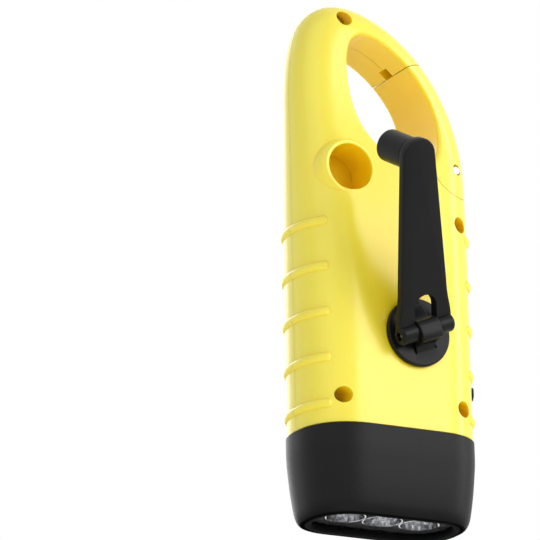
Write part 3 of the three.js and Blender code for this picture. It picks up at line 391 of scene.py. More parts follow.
# %% [markdown]
# ## From the workshop to the frame
# A finished piece is moved to the frame in metres, with its place in its mesh, and it rides on the CAD
# body that carries it. Faces that meet at a shallow angle are shaded smooth and sharp edges stay sharp.
# Where long thin faces meet wide ones, plain smooth shading leaves a faint crease. On the large yellow
# pieces a Weighted Normal modifier evens it out, because there wide faces count for more.

# %% Finish a piece
made_pieces = {}


def finish_piece(name, shape, body, replaces=(), sharp=32, turn=None, even=False):
    """Puts a workshop solid in the frame: (turned drawing + shift) / 1000, then names its body."""
    mesh = shape.data
    bpy.data.objects.remove(shape)
    spots = np.zeros(len(mesh.vertices) * 3, np.float32)
    mesh.vertices.foreach_get("co", spots)
    spots = spots.reshape(-1, 3).astype(float)
    if turn is not None:
        spots = spots @ turn[:3, :3].T + turn[:3, 3]
    mesh.vertices.foreach_set("co", ((spots + SHIFT) / MM).astype(np.float32).ravel())
    mended(mesh, merge=SAME_PLACE)
    mesh.polygons.foreach_set("use_smooth", np.ones(len(mesh.polygons), bool))
    mesh.set_sharp_from_angle(angle=math.radians(sharp))
    mesh.materials.clear()
    mesh.update()
    mesh.name = name
    piece = bpy.data.objects.new(name, mesh)
    bpy.context.scene.collection.objects.link(piece)
    if even:
        piece.modifiers.new("even shading", "WEIGHTED_NORMAL").keep_sharp = True
    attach(piece, body)
    if replaces:
        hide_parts(*replaces)
    made_pieces[name] = piece
    print(f"{name}: {len(mesh.vertices)} points, {len(mesh.polygons)} faces")


# %% [markdown]
# ## The housing's form
# The real housing is two mouldings that meet in the middle. Seen from the crank side its outline runs
# straight up, and then the left side bends over in one long curve to the tip of the hook. Its section is
# a rounded rectangle whose depth shrinks towards the hook.
#
# A subdivision cage could give that form roughly. Here it is a grid instead: one direction climbs the
# outline, the other runs round the section, and at each point the side curve is moved inwards along its
# normal while the depth grows, as on a superellipse.

# %% Outline and section of the body
MIRROR_Y = np.array([1, -1, 1])
FINE_STEPS = 4000


def half_depth(z):
    """Half depth at a height: full in the grip, and a smooth step down to the hook's half depth."""
    share = np.clip((np.asarray(z, float) - TAPER_FROM) / (TAPER_TO - TAPER_FROM), 0, 1)
    return HALF_DEPTH + (HOOK_HALF_DEPTH - HALF_DEPTH) * share * share * (3 - 2 * share)


def corner_curve(steps):
    """Superellipse corner: inward = 1 - cos^(2/p) and outward = sin^(2/p) of the same angle."""
    angle = np.linspace(0, QUARTER, steps + 1)
    cosine = np.clip(np.cos(angle), 0, 1)
    cosine[-1] = 0
    return 1 - cosine ** (2 / CORNER_POWER), np.sin(angle) ** (2 / CORNER_POWER)


def outline_levels(hook_steps, taper_steps):
    """Left and right points of the outline at the same heights, with the outward directions there."""
    taper = np.linspace(TAPER_FROM, HOOK_FROM, taper_steps + 1)
    straight = np.concatenate([[HEAD_HEIGHT - FAR], taper])
    t = np.linspace(0, 1, hook_steps + 1)[1:]
    left = np.vstack([np.stack([-HALF_WIDTH + 0 * straight, straight], -1), bezier(LEFT_CURVE, t)])
    sideways_out = np.tile([-1.0, 0.0], (len(straight), 1))
    left_out = np.vstack([sideways_out, -right_of(bezier_heading(LEFT_CURVE, t))])
    height = left[:, 1]
    fine = np.linspace(0, 1, FINE_STEPS + 1)
    t_right = np.interp(height, bezier(RIGHT_CURVE, fine)[:, 1], fine)
    t_right[-1] = 1
    below = (height <= RIGHT_CURVE[0, 1])[:, None]
    right = np.where(below, np.stack([HALF_WIDTH + 0 * height, height], -1), bezier(RIGHT_CURVE, t_right))
    right_out = np.where(below, [1.0, 0.0], right_of(bezier_heading(RIGHT_CURVE, t_right)))
    return left, left_out, right, right_out


print("half depth in the grip and the hook:", half_depth(TAPER_FROM), half_depth(FULL_HEIGHT))


# %% Form of the body
def body_form(inset=0.0, corner_steps=22, hook_steps=84, taper_steps=20):
    """The whole body drawn in by an inset: the grid of the outline's levels and the section's corner."""
    left, left_out, right, right_out = outline_levels(hook_steps, taper_steps)
    inward, outward = corner_curve(corner_steps)

    def side(spot, out):
        """Spots move along the outward direction by inset + radius * inward, and take their depth."""
        radius = CORNER_SHARE * half_depth(spot[:, 1]) - inset
        moved = spot[:, None] - out[:, None] * (inset + radius[:, None] * inward)[..., None]
        depth = outward * (half_depth(moved[..., 1]) - inset)
        return raised(moved, along_y, depth)

    right_side, left_side = side(right, right_out), side(left, left_out)
    rings = [right_side, left_side[:, ::-1], left_side[:, 1:] * MIRROR_Y, right_side[:, :0:-1] * MIRROR_Y]
    return stack(np.concatenate(rings, axis=1))


whole = body_form()
print("the body's form has", len(whole.data.vertices), "points")


# %% Opening of the hook
def opening_outline(growth, steps=22):
    """The opening's four Bezier curves, moved outwards along their normals."""
    t = np.arange(steps) / steps
    corners = np.vstack([OPENING, OPENING[:1]])
    curves = [corners[k:k + 4] for k in range(0, len(OPENING), 3)]
    ahead = np.vstack([bezier_heading(c, t) for c in curves])
    return np.vstack([bezier(c, t) for c in curves]) + growth * right_of(ahead)


def opening_tool(steps=9):
    """The cut of the opening, flared so that its edges come out as quarter circles."""
    drop, growth = OPENING_ROUND * np.array(quarter_round(steps))
    growth = np.concatenate([[OPENING_ROUND], growth])
    drop[0] = -SKIM
    outline = np.stack([opening_outline(g) for g in growth])
    depth = np.vstack([np.full((1, outline.shape[1]), HALF_DEPTH + FAR),
                       half_depth(outline[1:, :, 1]) - drop[:, None]])
    half = raised(outline, along_y, depth)
    return stack(np.concatenate([half, (half * MIRROR_Y)[::-1]]))


print("the opening's outline has", len(opening_outline(0)), "points")

# %% [markdown]
# ## Gate, lug and ribs
# The gate is the stretch of the hook that swings in on a pin. It is cut out of the same form as the
# housing, between an arc at its root and one at its tip, so its outside runs on in the same curve.
# The grip ribs are low ridges that wrap round both sides.

# %% Gate
ROOT_RADIUS, GATE_LENGTH, PIN_RADIUS, GATE_GROWTH = 7.5, 28.95, 1.2, 0.12
SLOT_HALF, SLOT_RADIUS = 4.8, 8.8
ROOT_ARC, TIP_ARC, NOSE_ARC = np.radians([180, 385]), np.radians([55, 110]), np.radians([70, 76.5])
NOSE_REACH, NOSE_HALF = 2.4, 1.5


def gate_stretch(root_radius, tip_radius):
    """Prism between two arcs about the gate's pin, through the whole depth."""
    root, tip = arc(GATE_PIN, root_radius, *ROOT_ARC, 72), arc(GATE_PIN, tip_radius, *TIP_ARC, 40)
    return prism(np.vstack([root, tip]), -HALF_DEPTH - FAR, HALF_DEPTH + FAR, along_y)


def sector(inner, outer, start, end, half):
    """A slice of a ring about the gate's pin."""
    outline = np.vstack([arc(GATE_PIN, outer, start, end, 6), arc(GATE_PIN, inner, end, start, 6)])
    return prism(outline, -half, half, along_y)


def gate_form():
    """The body's form where the gate is, less the opening, the lug's slot and the pin's bore. Its two
    arcs lie a little further out than the solid's, because the photo's seams are thin."""
    stretch = gate_stretch(ROOT_RADIUS + GATE_GROWTH, GATE_LENGTH + GATE_GROWTH)
    shape = carved(common(copy_of(whole), stretch), opening_tool())
    nose = sector(GATE_LENGTH - NOSE_REACH, GATE_LENGTH + NOSE_REACH, *NOSE_ARC, NOSE_HALF)
    return carved(joined(shape, nose), gate_drum(SLOT_RADIUS, SLOT_HALF, 96),
                  gate_drum(PIN_RADIUS + BORE_GAP, HALF_DEPTH, 40))


print("the gate is", GATE_LENGTH, "mm long from its pin")

# %% Lug of the gate
SPRING_RADIUS, SPRING_WIRE, SPRING_TURNS = 2.2, 0.6, 3.5
SPRING_RISE = SPRING_TURNS * (SPRING_WIRE + SEAT_GAP / 2)
NECK_HALF = 4.5


def lug_form():
    """The housing's lug between the gate's ears: a drum with a neck, and a recess for the spring."""
    half = SLOT_HALF - SEAT_GAP - SKIM
    lowest = ROOT_RADIUS + SEAT_GAP + WALL / 2
    x, z = GATE_PIN
    room, room_half = SPRING_RADIUS + SPRING_WIRE + SEAT_GAP, SPRING_RISE / 2 + SPRING_WIRE / 2 + SEAT_GAP
    shape = joined(gate_drum(ROOT_RADIUS - SEAT_GAP, half, 80),
                   block([x - NECK_HALF, x + NECK_HALF], [-half, half], [z - lowest, z]))
    return carved(common(shape, copy_of(whole)), gate_drum(room, room_half, 48),
                  block([x - room, x + room], [-room_half, room_half], [z, z + SLOT_RADIUS]),
                  gate_drum(PIN_RADIUS + BORE_GAP, half + 1, 40))


print("the spring's room is", round(2 * (SPRING_RADIUS + SPRING_WIRE + SEAT_GAP), 2), "mm wide")

# %% Grip ribs
RIB_COUNT, RIB_FIRST, RIB_PITCH = 5, 5.27, 11.81
RIB_WRAP, RIB_HALF_WIDTH, RIB_PROUD, RIB_SINK = math.radians(49), 1.15, 0.75, 0.5
RIB_FADE, RIB_END_HEIGHT, RIB_END_WIDTH, RIB_FOOT = 0.09, 0.06, 0.55, 0.015
RIB_FULLNESS, NEARBY = 0.62, 0.004


def rib(z, sign, steps=44):
    """A ridge round one side: a power of a cosine carried along the section, drawn down at its ends."""
    angle = np.linspace(-RIB_WRAP, RIB_WRAP, steps + 1)
    depth = float(half_depth(z))
    power = 2 / CORNER_POWER

    def on_section(a):
        """Places on the section: the superellipse about the side, at an angle from its middle."""
        return np.stack([HALF_WIDTH - CORNER_SHARE * depth * (1 - np.cos(a) ** power),
                         depth * np.sign(a) * np.abs(np.sin(a)) ** power], -1)

    ahead = on_section(angle + NEARBY) - on_section(angle - NEARBY)
    ahead /= np.linalg.norm(ahead, axis=1, keepdims=True)
    fade = np.clip((1 - np.abs(angle / RIB_WRAP)) / RIB_FADE, 0, 1)
    fade = np.sqrt(1 - (1 - fade) ** 2) * (1 - RIB_END_HEIGHT) + RIB_END_HEIGHT
    u = np.linspace(-1, 1, 15)
    hump = np.cos(u * QUARTER) ** RIB_FULLNESS * (1 - RIB_FOOT) + RIB_FOOT
    across = np.concatenate([[-1.0], u, [1.0]])
    height = np.concatenate([[-RIB_SINK / RIB_PROUD], hump, [-RIB_SINK / RIB_PROUD]])[None] * RIB_PROUD
    rise = np.where(height < 0, height, height * fade[:, None])
    spots = on_section(angle)[:, None] + right_of(ahead)[:, None] * rise[..., None]
    widths = RIB_HALF_WIDTH * across * (RIB_END_WIDTH + (1 - RIB_END_WIDTH) * fade[:, None])
    return stack(np.stack([sign * spots[..., 0], spots[..., 1], z + widths], -1))


print("ribs:", RIB_COUNT, "on each side,", RIB_PITCH, "mm apart")

# %% [markdown]
# ## The two halves of the housing
# Each half is hollow, about 1.8 mm thick, and carries what is screwed into it: posts for the screws, a
# cup for the folded knob and a tube for the crank's shaft. We carve the full form once and then part it
# at the middle, with the thin line that two mouldings leave.

# %% Where screws, button, crank and panel sit
SCREW_SPOTS = {
    "lower_left": np.array([-17.0, HEAD_HEIGHT + 7.2]),
    "lower_right": np.array([17.0, HEAD_HEIGHT + 7.2]),
    "upper": np.array([-18.0, HOOK_FROM - 12.2]),
    "hook": hook_spot(0.506, 0.885),
}
BUTTON_Z, BUTTON_HALF_LENGTH, BUTTON_HALF_HEIGHT = 35.8, 7.0, 1.7
HUB, ARM_LENGTH, ARM_TURN = np.array([-3.2, 46.8]), 45.2, math.radians(21.5)
POCKET = HUB + ARM_LENGTH * np.array([math.sin(ARM_TURN), math.cos(ARM_TURN)])
BEZEL_HALF, BEZEL_BOTTOM, BEZEL_TOP, BEZEL_ARCH, BEZEL_ROUND = 15.0, 27.6, 71.2, 4.6, 3.0
BEZEL_CREST, BEZEL_DEPTH, WINDOW_INSET = 15.2, 4.0, 5.2
print("the knob's pocket is at", np.round(POCKET, 2))


# %% Outlines of the button and the bezel
def button_prism(longer, higher, steps=24):
    """The button's pill, a little larger, carried in from outside: a long outline with two round ends."""
    half_height = BUTTON_HALF_HEIGHT + higher
    reach = BUTTON_HALF_LENGTH + longer - half_height
    outline = np.vstack([arc((reach, 0), half_height, -QUARTER, QUARTER, steps),
                         arc((-reach, 0), half_height, QUARTER, 3 * QUARTER, steps)])
    return prism(outline, -HALF_WIDTH - FAR, -HALF_WIDTH / 2, along_x, (0, 0, BUTTON_Z))


def bezel_outline(half, bottom, top, arch, corner, cuts=10, arch_cuts=30):
    """A rectangle with round corners whose top side bulges up as a parabola."""
    reach = half - corner
    share = np.linspace(1, -1, arch_cuts + 1)[1:-1]
    crown = np.stack([reach * share, top + arch * (1 - share**2)], -1)
    return np.vstack([arc((-reach, bottom + corner), corner, 2 * QUARTER, 3 * QUARTER, cuts),
                      arc((reach, bottom + corner), corner, -QUARTER, 0, cuts),
                      arc((reach, top - corner), corner, 0, QUARTER, cuts), crown,
                      arc((-reach, top - corner), corner, QUARTER, 2 * QUARTER, cuts)])


def bezel_ring(inset):
    """The bezel's outline, drawn in."""
    return bezel_outline(BEZEL_HALF - inset, BEZEL_BOTTOM + inset, BEZEL_TOP - inset, BEZEL_ARCH,
                         BEZEL_ROUND - inset / 2)


print("the bezel's outline has", len(bezel_ring(0)), "points")


# %% The hollow form
def housing_blank():
    """The hollow form with its ribs, less the opening, the gate's stretch and the button's slot."""
    notch_radius = GATE_LENGTH + NOSE_REACH + SEAT_GAP
    cavity = carved(body_form(WALL, 14, 40, 10),
                    prism(opening_outline(WALL), -HALF_DEPTH, HALF_DEPTH, along_y),
                    gate_stretch(ROOT_RADIUS + SEAT_GAP + WALL, notch_radius + WALL))
    shape = carved(copy_of(whole), cavity)
    for k in range(RIB_COUNT):
        z = HEAD_HEIGHT + RIB_FIRST + RIB_PITCH * k
        shape = joined(shape, rib(z, 1), rib(z, -1))
    notch = sector(GATE_LENGTH, notch_radius, TIP_ARC[0], NOSE_ARC[1] + SEAT_GAP / GATE_LENGTH,
                   NOSE_HALF + SEAT_GAP)
    stretch = gate_stretch(ROOT_RADIUS + SEAT_GAP, GATE_LENGTH + SEAT_GAP)
    shape = carved(shape, opening_tool(), stretch, notch)
    return carved(joined(shape, lug_form()), button_prism(SEAT_GAP, SEAT_GAP))


blank = housing_blank()
print("the hollow form has", len(blank.data.polygons), "faces")

# %% The half with the solar panel
SCREW_BORE, FRONT_POST, BACK_POST, WELL_RADIUS, WELL_FLOOR = 1.2, 3.0, 3.3, 2.1, 3.3
FRONT_BORE_FROM, FRONT_BORE_TO, BACK_BORE_FROM, BORE_OVERRUN = -8, 3, -3, 0.1
BOARD_POSTS = [(17.3, 64, 1.8, -2.7), (-17.3, 64, 1.8, -2.7), (-17.6, 38.875, 1.3, -5.9),
               (-17.6, 49.625, 1.3, -5.9)]  # X, Z, radius and top


def solar_half(half):
    """Joined: posts for screws and boards, kept inside the body. Carved: bores and the panel's hole."""
    screw_posts = [(*spot, FRONT_POST, -SEAT_GAP / 2) for spot in SCREW_SPOTS.values()]
    for x, z, radius, top in screw_posts + BOARD_POSTS:
        post = drum(radius, -HALF_DEPTH, top, along_y, (x, 0, z), 40)
        half = joined(half, common(post, copy_of(whole)))
    for spot in SCREW_SPOTS.values():
        half = carved(half, drum(SCREW_BORE, FRONT_BORE_FROM, FRONT_BORE_TO, along_y, at(spot), 40))
    hole_floor = BEZEL_DEPTH + SEAT_GAP - BEZEL_CREST
    return carved(half, prism(bezel_ring(-BORE_GAP), -HALF_DEPTH - FAR, hole_floor, along_y))


print("posts for boards:", len(BOARD_POSTS))

# %% The half with the crank
TUBE_RADIUS, TUBE_END, SHAFT_BORE, INNER_WALL = 4.5, 9.6, 2.9, 12.42
AXLE_SEATS = ((-10.8, 59.964, 10.1), (2.593, 62.325, 6.2))  # X, Z and where each seat starts
AXLE_BOSS, AXLE_BORE, AXLE_END, BOSS_SHORTER = 1.6, 1.0, 12.1, 0.5
BATTERY_Y, BATTERY_Z, BATTERY_ROOM, CRADLE_WALL, CRADLE_HALF = -3, 33, 7.3, 1.4, 4.5
CRADLE_STARTS = (-4.2, 6.8)
GEAR_ROOM, GEAR_FROM = 12.3, 7.2
POCKET_FLOOR, POCKET_BOTTOM, POCKET_ROOM, POCKET_RIM = 1.9, 0.756, 6.1, 12.45


def knob_cup():
    """The cup round the folded knob: a turned profile with a rounded rim, still full inside."""
    side = smooth_line([(7.99, POCKET_BOTTOM), (8.27, 8.06), (7.87, 10.96), (6.95, 12.6)], 8)
    rim = smooth_line([(6.7, 12.66), (6.3, 12.6), (POCKET_ROOM, POCKET_RIM)], 4)
    return turned(np.vstack([[(0, POCKET_BOTTOM)], side, rim, [(0, POCKET_RIM)]]), 80, along_y, at(POCKET))


def cradle(x):
    """A web behind the battery pack: a plate, less the round room of the pack, what would stand beside
    the pack, and the room of the crank's gear."""
    low, high, through = BATTERY_Z - CRADLE_HALF, BATTERY_Z + CRADLE_HALF, [x - FAR, x + FAR]
    web = block([x, x + CRADLE_WALL], [BATTERY_Y, INNER_WALL], [low, high])
    return carved(web, drum(BATTERY_ROOM, *through, along_x, (0, BATTERY_Y, BATTERY_Z), 64),
                  block(through, [BATTERY_Y - FAR, BATTERY_Y + FAR], [low - FAR, high + FAR]),
                  drum(GEAR_ROOM, GEAR_FROM, TUBE_END, along_y, at(HUB), 64))


def crank_half(half):
    """The crank's half: screw posts and wells, the shaft's tube, the axle seats and the knob's cup."""
    for spot in SCREW_SPOTS.values():
        post = drum(BACK_POST, SEAT_GAP / 2, HALF_DEPTH, along_y, at(spot), 48)
        half = joined(half, common(post, copy_of(whole)))
    half = joined(half, drum(TUBE_RADIUS, TUBE_END, HALF_DEPTH - SKIM, along_y, at(HUB), 64))
    for x, z, top in AXLE_SEATS:
        half = joined(half, drum(AXLE_BOSS, top + BOSS_SHORTER, INNER_WALL, along_y, (x, 0, z), 40))
        half = carved(half, drum(AXLE_BORE, top, AXLE_END, along_y, (x, 0, z), 40))
    half = joined(half, *[cradle(x) for x in CRADLE_STARTS], knob_cup())
    half = carved(half, drum(POCKET_ROOM, POCKET_FLOOR, HALF_DEPTH + FAR, along_y, at(POCKET), 80),
                  drum(SHAFT_BORE, 0, HALF_DEPTH + FAR, along_y, at(HUB), 64))
    for spot in SCREW_SPOTS.values():
        well = drum(WELL_RADIUS, WELL_FLOOR, half_depth(spot[1]) + FAR, along_y, at(spot), 56)
        bore = drum(SCREW_BORE, BACK_BORE_FROM, WELL_FLOOR + BORE_OVERRUN, along_y, at(spot), 40)
        half = carved(half, well, bore)
    return half


print("axle seats:", len(AXLE_SEATS))

# %% Part the form into two halves and make the gate
WIDE, TALL = [-30, 30], [HEAD_HEIGHT + SEAT_GAP, FULL_HEIGHT + FAR]
PARTING = 0.05
front = solar_half(common(copy_of(blank), block(WIDE, [-20, -PARTING], TALL)))
finish_piece("housing_solar_half", front, "housing", ["front_shell"], even=True)
back = crank_half(common(blank, block(WIDE, [PARTING, 20], TALL)))
finish_piece("housing_crank_half", back, "housing", ["back_shell"], even=True)
finish_piece("hook_gate", gate_form(), "gate", ["gate"], even=True)

# %% [markdown]
# ## Pin, spring and screws
# The gate turns on a steel pin whose round ends lie a little below the surface. A wire spring of three
# and a half turns closes it. The housing screws lie at the bottom of their wells and have a cross.
# The spring is a circle carried along a helix, the others are turned profiles.


# %% Pin of the gate
def rod(end, sides, *where):
    """A turned bar with two equal ends: the profile of one end and its mirror image."""
    return turned(np.vstack([end[::-1], end * [1, -1]]), sides, *where)


pin_half = MM / 2 * (pin_high[1] - pin_low[1])
pin_end = smooth_line([(PIN_RADIUS, pin_half - 0.35), (1.08, pin_half - 0.12), (0.72, pin_half - 0.02),
                       (0, pin_half)], 5)
finish_piece("gate_rivet", rod(pin_end, 40, along_y, at(GATE_PIN)), "gate", ["gate_pin"])

# %% Spring of the gate
LEG_UP, LEG_BACK = 5.6, 2.4
NEVER_AHEAD = [0.31, 0.05, 0.95]


def carried_circle(path, radius, sides=14):
    """A round wire: a circle in the plane across the path at each of its points."""
    ahead = np.gradient(path, axis=0)
    ahead /= np.linalg.norm(ahead, axis=1, keepdims=True)
    first = np.cross(ahead, NEVER_AHEAD)
    first /= np.linalg.norm(first, axis=1, keepdims=True)
    first, second = first[:, None], np.cross(ahead, first)[:, None]
    angle = TURN * np.arange(sides)[None, :, None] / sides
    return stack(path[:, None] + radius * (np.cos(angle) * first + np.sin(angle) * second))


turn_share = np.linspace(0, 1, 141)
turn_angle = -TURN * SPRING_TURNS * turn_share
helix = np.stack([GATE_PIN[0] + SPRING_RADIUS * np.cos(turn_angle), SPRING_RISE * (turn_share - 0.5),
                  GATE_PIN[1] + SPRING_RADIUS * np.sin(turn_angle)], -1)
leg_up = np.linspace([*helix[0, :2], GATE_PIN[1] + LEG_UP], helix[0], 8)[:-1]
leg_back = np.linspace(helix[-1], [*helix[-1, :2], GATE_PIN[1] + LEG_BACK], 6)[1:]
spring = carried_circle(np.vstack([leg_up, helix, leg_back]), SPRING_WIRE / 2)
finish_piece("gate_coil", spring, "housing", ["gate_spring"], sharp=50)

# %% Housing screws
SCREW_SEAT, SCREW_HEAD, SCREW_STEM = 3.6, 1.85, 0.95


def screw(spot):
    """A turned screw with a small crown, whose cross is carved by two tapered bars."""
    crown = smooth_line([(SCREW_HEAD, SCREW_SEAT + 0.75), (1.62, SCREW_SEAT + 1.08),
                         (1.0, SCREW_SEAT + 1.25), (0, SCREW_SEAT + 1.3)], 6)
    stem = [(0, -7), (SCREW_STEM, -6.05), (SCREW_STEM, SCREW_SEAT), (SCREW_HEAD, SCREW_SEAT)]
    shape = turned(np.vstack([stem, crown]), 48, along_y, at(spot))
    for across in (0, QUARTER):
        turn = np.array([[math.cos(across), -math.sin(across)], [math.sin(across), math.cos(across)]])
        ends = []
        for a, b, rise in ((0.4, 0.16, 0.35), (1.1, 0.26, 1.5)):
            outline = np.array([(-a, -b), (a, -b), (a, b), (-a, b)]) @ turn.T
            ends.append(raised(outline, along_y, SCREW_SEAT + rise))
        shape = carved(shape, stack(np.stack(ends) + at(spot)))
    return shape


for name, spot in SCREW_SPOTS.items():
    finish_piece(f"housing_screw_{name}", screw(spot), "housing", [f"screw_{name}"], sharp=28)

# %% [markdown]
# ## Lamp head
# The black head is the body's section drawn in towards a flat rim, whose inner edge rounds over into the
# mouth. Its side is a smooth line through measured insets, and each inset gives one ring of the section.
# A collar on its top goes up inside the housing.

# %% Sections of the head
HEAD_HALF_WIDTH, HEAD_HALF_DEPTH, FACE_INSET = HALF_WIDTH + 0.3, HALF_DEPTH + 0.3, 3.2
MOUTH_INSET, LIP, PANE_FROM, PANE_DEPTH, MOUTH_DEPTH = 5.7, 0.8, 1.1, 0.5, 5.4
HEAD_ROOM, HEAD_FLOOR, COLLAR_OUTER, COLLAR_INNER, COLLAR_ROOT, COLLAR_RISE = 2.65, 2.4, 2.4, 3.8, 4, 3.3


def section(inset, steps=26):
    """The head's rounded section: a superellipse corner mirrored to all four sides."""
    inward, outward = corner_curve(steps)
    depth = HEAD_HALF_DEPTH - inset
    corner = np.stack([HEAD_HALF_WIDTH - inset - CORNER_SHARE * depth * inward, depth * outward], -1)
    back = corner[::-1]
    return np.vstack([corner, back * [-1, 1], (corner * [-1, -1])[1:], (back * [1, -1])[:-1]])


def head_rings(insets, heights):
    """Rings of the head's section, one for each inset and height."""
    return np.stack([raised(section(i), along_z, z) for i, z in zip(insets, heights)])


def head_plate(inset, low, high):
    """A straight prism of the head's section."""
    return stack(head_rings([inset, inset], [low, high]))


print("the head is", 2 * HEAD_HALF_WIDTH, "by", 2 * HEAD_HALF_DEPTH, "mm")


# %% Head cap
def head_form():
    """The head's outside, hollowed, with its rounded lip, its mouth and the collar inside the housing."""
    side = smooth_line([(1, 0), (0.78, 0), (0.6, 0.08), (0.36, 0.24), (0.15, 0.45), (0.06, 0.62),
                        (0.015, 0.82), (0, 1)], 9)
    shape = stack(head_rings(FACE_INSET * side[:, 1], HEAD_HEIGHT * np.clip(side[:, 0], 0, 1)))
    angle = np.linspace(0, QUARTER, 9)
    edge = MOUTH_INSET - LIP
    mouth_insets = np.concatenate([[edge], edge + LIP * np.sin(angle), [MOUTH_INSET, MOUTH_INSET]])
    lip_heights = LIP * (1 - np.cos(angle)) - SKIM / 2
    mouth_heights = np.concatenate([[-1.0], lip_heights, [PANE_FROM, MOUTH_DEPTH]])
    collar = carved(head_plate(COLLAR_OUTER, HEAD_HEIGHT - COLLAR_ROOT, HEAD_HEIGHT + COLLAR_RISE),
                    head_plate(COLLAR_INNER, -3, 40))
    shape = carved(shape, head_plate(HEAD_ROOM, HEAD_FLOOR, HEAD_HEIGHT + FAR),
                   stack(head_rings(mouth_insets, mouth_heights)))
    return joined(shape, collar)


finish_piece("lamp_head", head_form(), "housing", ["head_cap"], sharp=38)

# %% [markdown]
# ## Reflector and lights
# Three silvered cups sit in a black plate behind a thin pane. Real cups of this kind are pressed with
# small flat facets, which break the light up, so each cup is a turned shape of few flat sides, cut into
# triangles and shaded flat on purpose. A smooth cup would show one clean ring. The lights are clear
# bullets with a chip on a bright post inside.

# %% Cups, plate and pane
CUP_SPOTS = {"left": -10.4, "centre": 0.0, "right": 10.4}
CUP_TOP, CUP_MOUTH, CUP_WALL, CUP_FACETS = 13.0, 4.85, 0.3, 18
PANE_GAP, PLATE_GAP, PLATE_FROM, PLATE_DEPTH = 0.1, 0.15, PANE_FROM + PANE_DEPTH + 0.2, 1.2


def cup(x):
    """A faceted cup: rings of 18 points, each turned by half a facet against the one below."""
    size = [CUP_MOUTH, CUP_TOP - PLATE_FROM]
    levels = smooth_line(np.array([(1, 0), (0.93, 0.32), (0.74, 0.66), (0.54, 1)]) * size, 2)
    half_steps = 0.5 * (np.arange(len(levels))[:, None] % 2)
    angle = TURN * (np.arange(CUP_FACETS)[None] + half_steps) / CUP_FACETS
    inside, outside = [along_z(radius * np.cos(angle), radius * np.sin(angle), PLATE_FROM + levels[:, 1:])
                       for radius in (levels[:, :1], levels[:, :1] + CUP_WALL)]
    made = stack(np.concatenate([inside, outside[::-1]]) + np.array([x, 0, 0]), loop=True)
    mended(made.data, triangles=True)
    return made


plate = head_plate(MOUTH_INSET + PLATE_GAP, PLATE_FROM, PLATE_FROM + PLATE_DEPTH)
for x in CUP_SPOTS.values():
    plate = carved(plate, drum(CUP_MOUTH + CUP_WALL + SKIM, 0, 10, along_z, (x, 0, 0), 54))
finish_piece("reflector_plate", plate, "housing", ["reflector"])
pane = head_plate(MOUTH_INSET + PANE_GAP, PANE_FROM, PANE_FROM + PANE_DEPTH)
finish_piece("front_pane", pane, "housing", ["lens"])
for name, x in CUP_SPOTS.items():
    finish_piece(f"reflector_cup_{name}", cup(x), "housing", ["reflector"], sharp=1)

# %% Lights
led_low, led_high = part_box("led_centre")
LED_TIP, LED_TOP = MM * led_low[2], MM * led_high[2]
LED_RADIUS, FLANGE_RADIUS, FLANGE_FROM = 2.45, 2.85, CUP_TOP + SEAT_GAP


def bullet(*where):
    """A light's clear body: half a circle for the dome, a straight side and a flange."""
    angle = np.linspace(0, QUARTER, 13)
    dome = np.stack([LED_RADIUS * np.sin(angle), LED_TIP + LED_RADIUS * (1 - np.cos(angle))], -1)
    foot = [(LED_RADIUS, FLANGE_FROM), (FLANGE_RADIUS, FLANGE_FROM), (FLANGE_RADIUS, LED_TOP),
            (0, LED_TOP)]
    return turned(np.vstack([dome, foot]), 40, *where)


POST_TOP, POST_RADIUS = FLANGE_FROM + 0.4, 0.9
post_line = [(0, POST_TOP), (POST_RADIUS, POST_TOP), (POST_RADIUS, LED_TIP + 4.6), (1.15, LED_TIP + 3.4),
             (0.95, LED_TIP + 3.2), (0.6, LED_TIP + 3.7), (0, LED_TIP + 3.7)]
chip_face = smooth_line([(0, LED_TIP + 3.3), (0.34, LED_TIP + 3.36), (0.55, LED_TIP + 3.62)], 4)
chip_line = np.vstack([chip_face, [(0, LED_TIP + 3.68)]])
for name, x in CUP_SPOTS.items():
    where = (along_z, (x, 0, 0))
    finish_piece(f"light_{name}", bullet(*where), "housing", [f"led_{name}"])
    finish_piece(f"light_{name}_post", turned(post_line, 20, *where), "housing")
    finish_piece(f"light_{name}_chip", turned(chip_line, 20, *where), "housing")

# %% [markdown]
# ## Solar bezel
# The black frame round the solar panel is one profile carried round an arched rectangle: up the outer
# edge, over a rounded crest, down to a groove and a ledge that holds the pane.

# %% Bezel
BEZEL_BACK, LEDGE_BACK = BEZEL_DEPTH - BEZEL_CREST, 1.9 - BEZEL_CREST
WINDOW_HALF, WINDOW_CORNER = 9.9, 2.0
WINDOW_LOW, WINDOW_HIGH = BEZEL_BOTTOM + WINDOW_INSET, BEZEL_TOP - WINDOW_INSET + BEZEL_ARCH / 2


def window_ring(growth):
    """The pane's outline, with a flat top and as many points as the bezel's."""
    return bezel_outline(WINDOW_HALF + growth, WINDOW_LOW - growth, WINDOW_HIGH + growth, 0,
                         WINDOW_CORNER)


def bezel_form():
    """A looped stack: each step of the profile is one ring at its own depth. The rim is given as shares
    of the way in to the window and of the frame's depth, the ledge as growth of the window and depth."""
    rim = smooth_line([(0, 0.22), (0.035, 0.09), (0.11, 0.02), (0.21, 0), (0.31, 0.015), (0.37, 0.1),
                       (0.42, 0.135), (0.49, 0.12), (0.56, 0.06)], 4)
    ledge = ((1.0, LEDGE_BACK - 1.0), (0.75, LEDGE_BACK - 0.97), (0.1, LEDGE_BACK - 0.65),
             (0, LEDGE_BACK - 0.5), (0, LEDGE_BACK), (1.3, LEDGE_BACK), (1.3, BEZEL_BACK))
    rings = [raised(bezel_ring(0), along_y, BEZEL_BACK)]
    for inward, down in rim:
        spots = bezel_ring(WINDOW_INSET * inward)
        rings.append(raised(spots, along_y, -BEZEL_CREST + BEZEL_DEPTH * max(down, 0)))
    rings += [raised(window_ring(growth), along_y, depth) for growth, depth in ledge]
    return stack(np.stack(rings), loop=True)


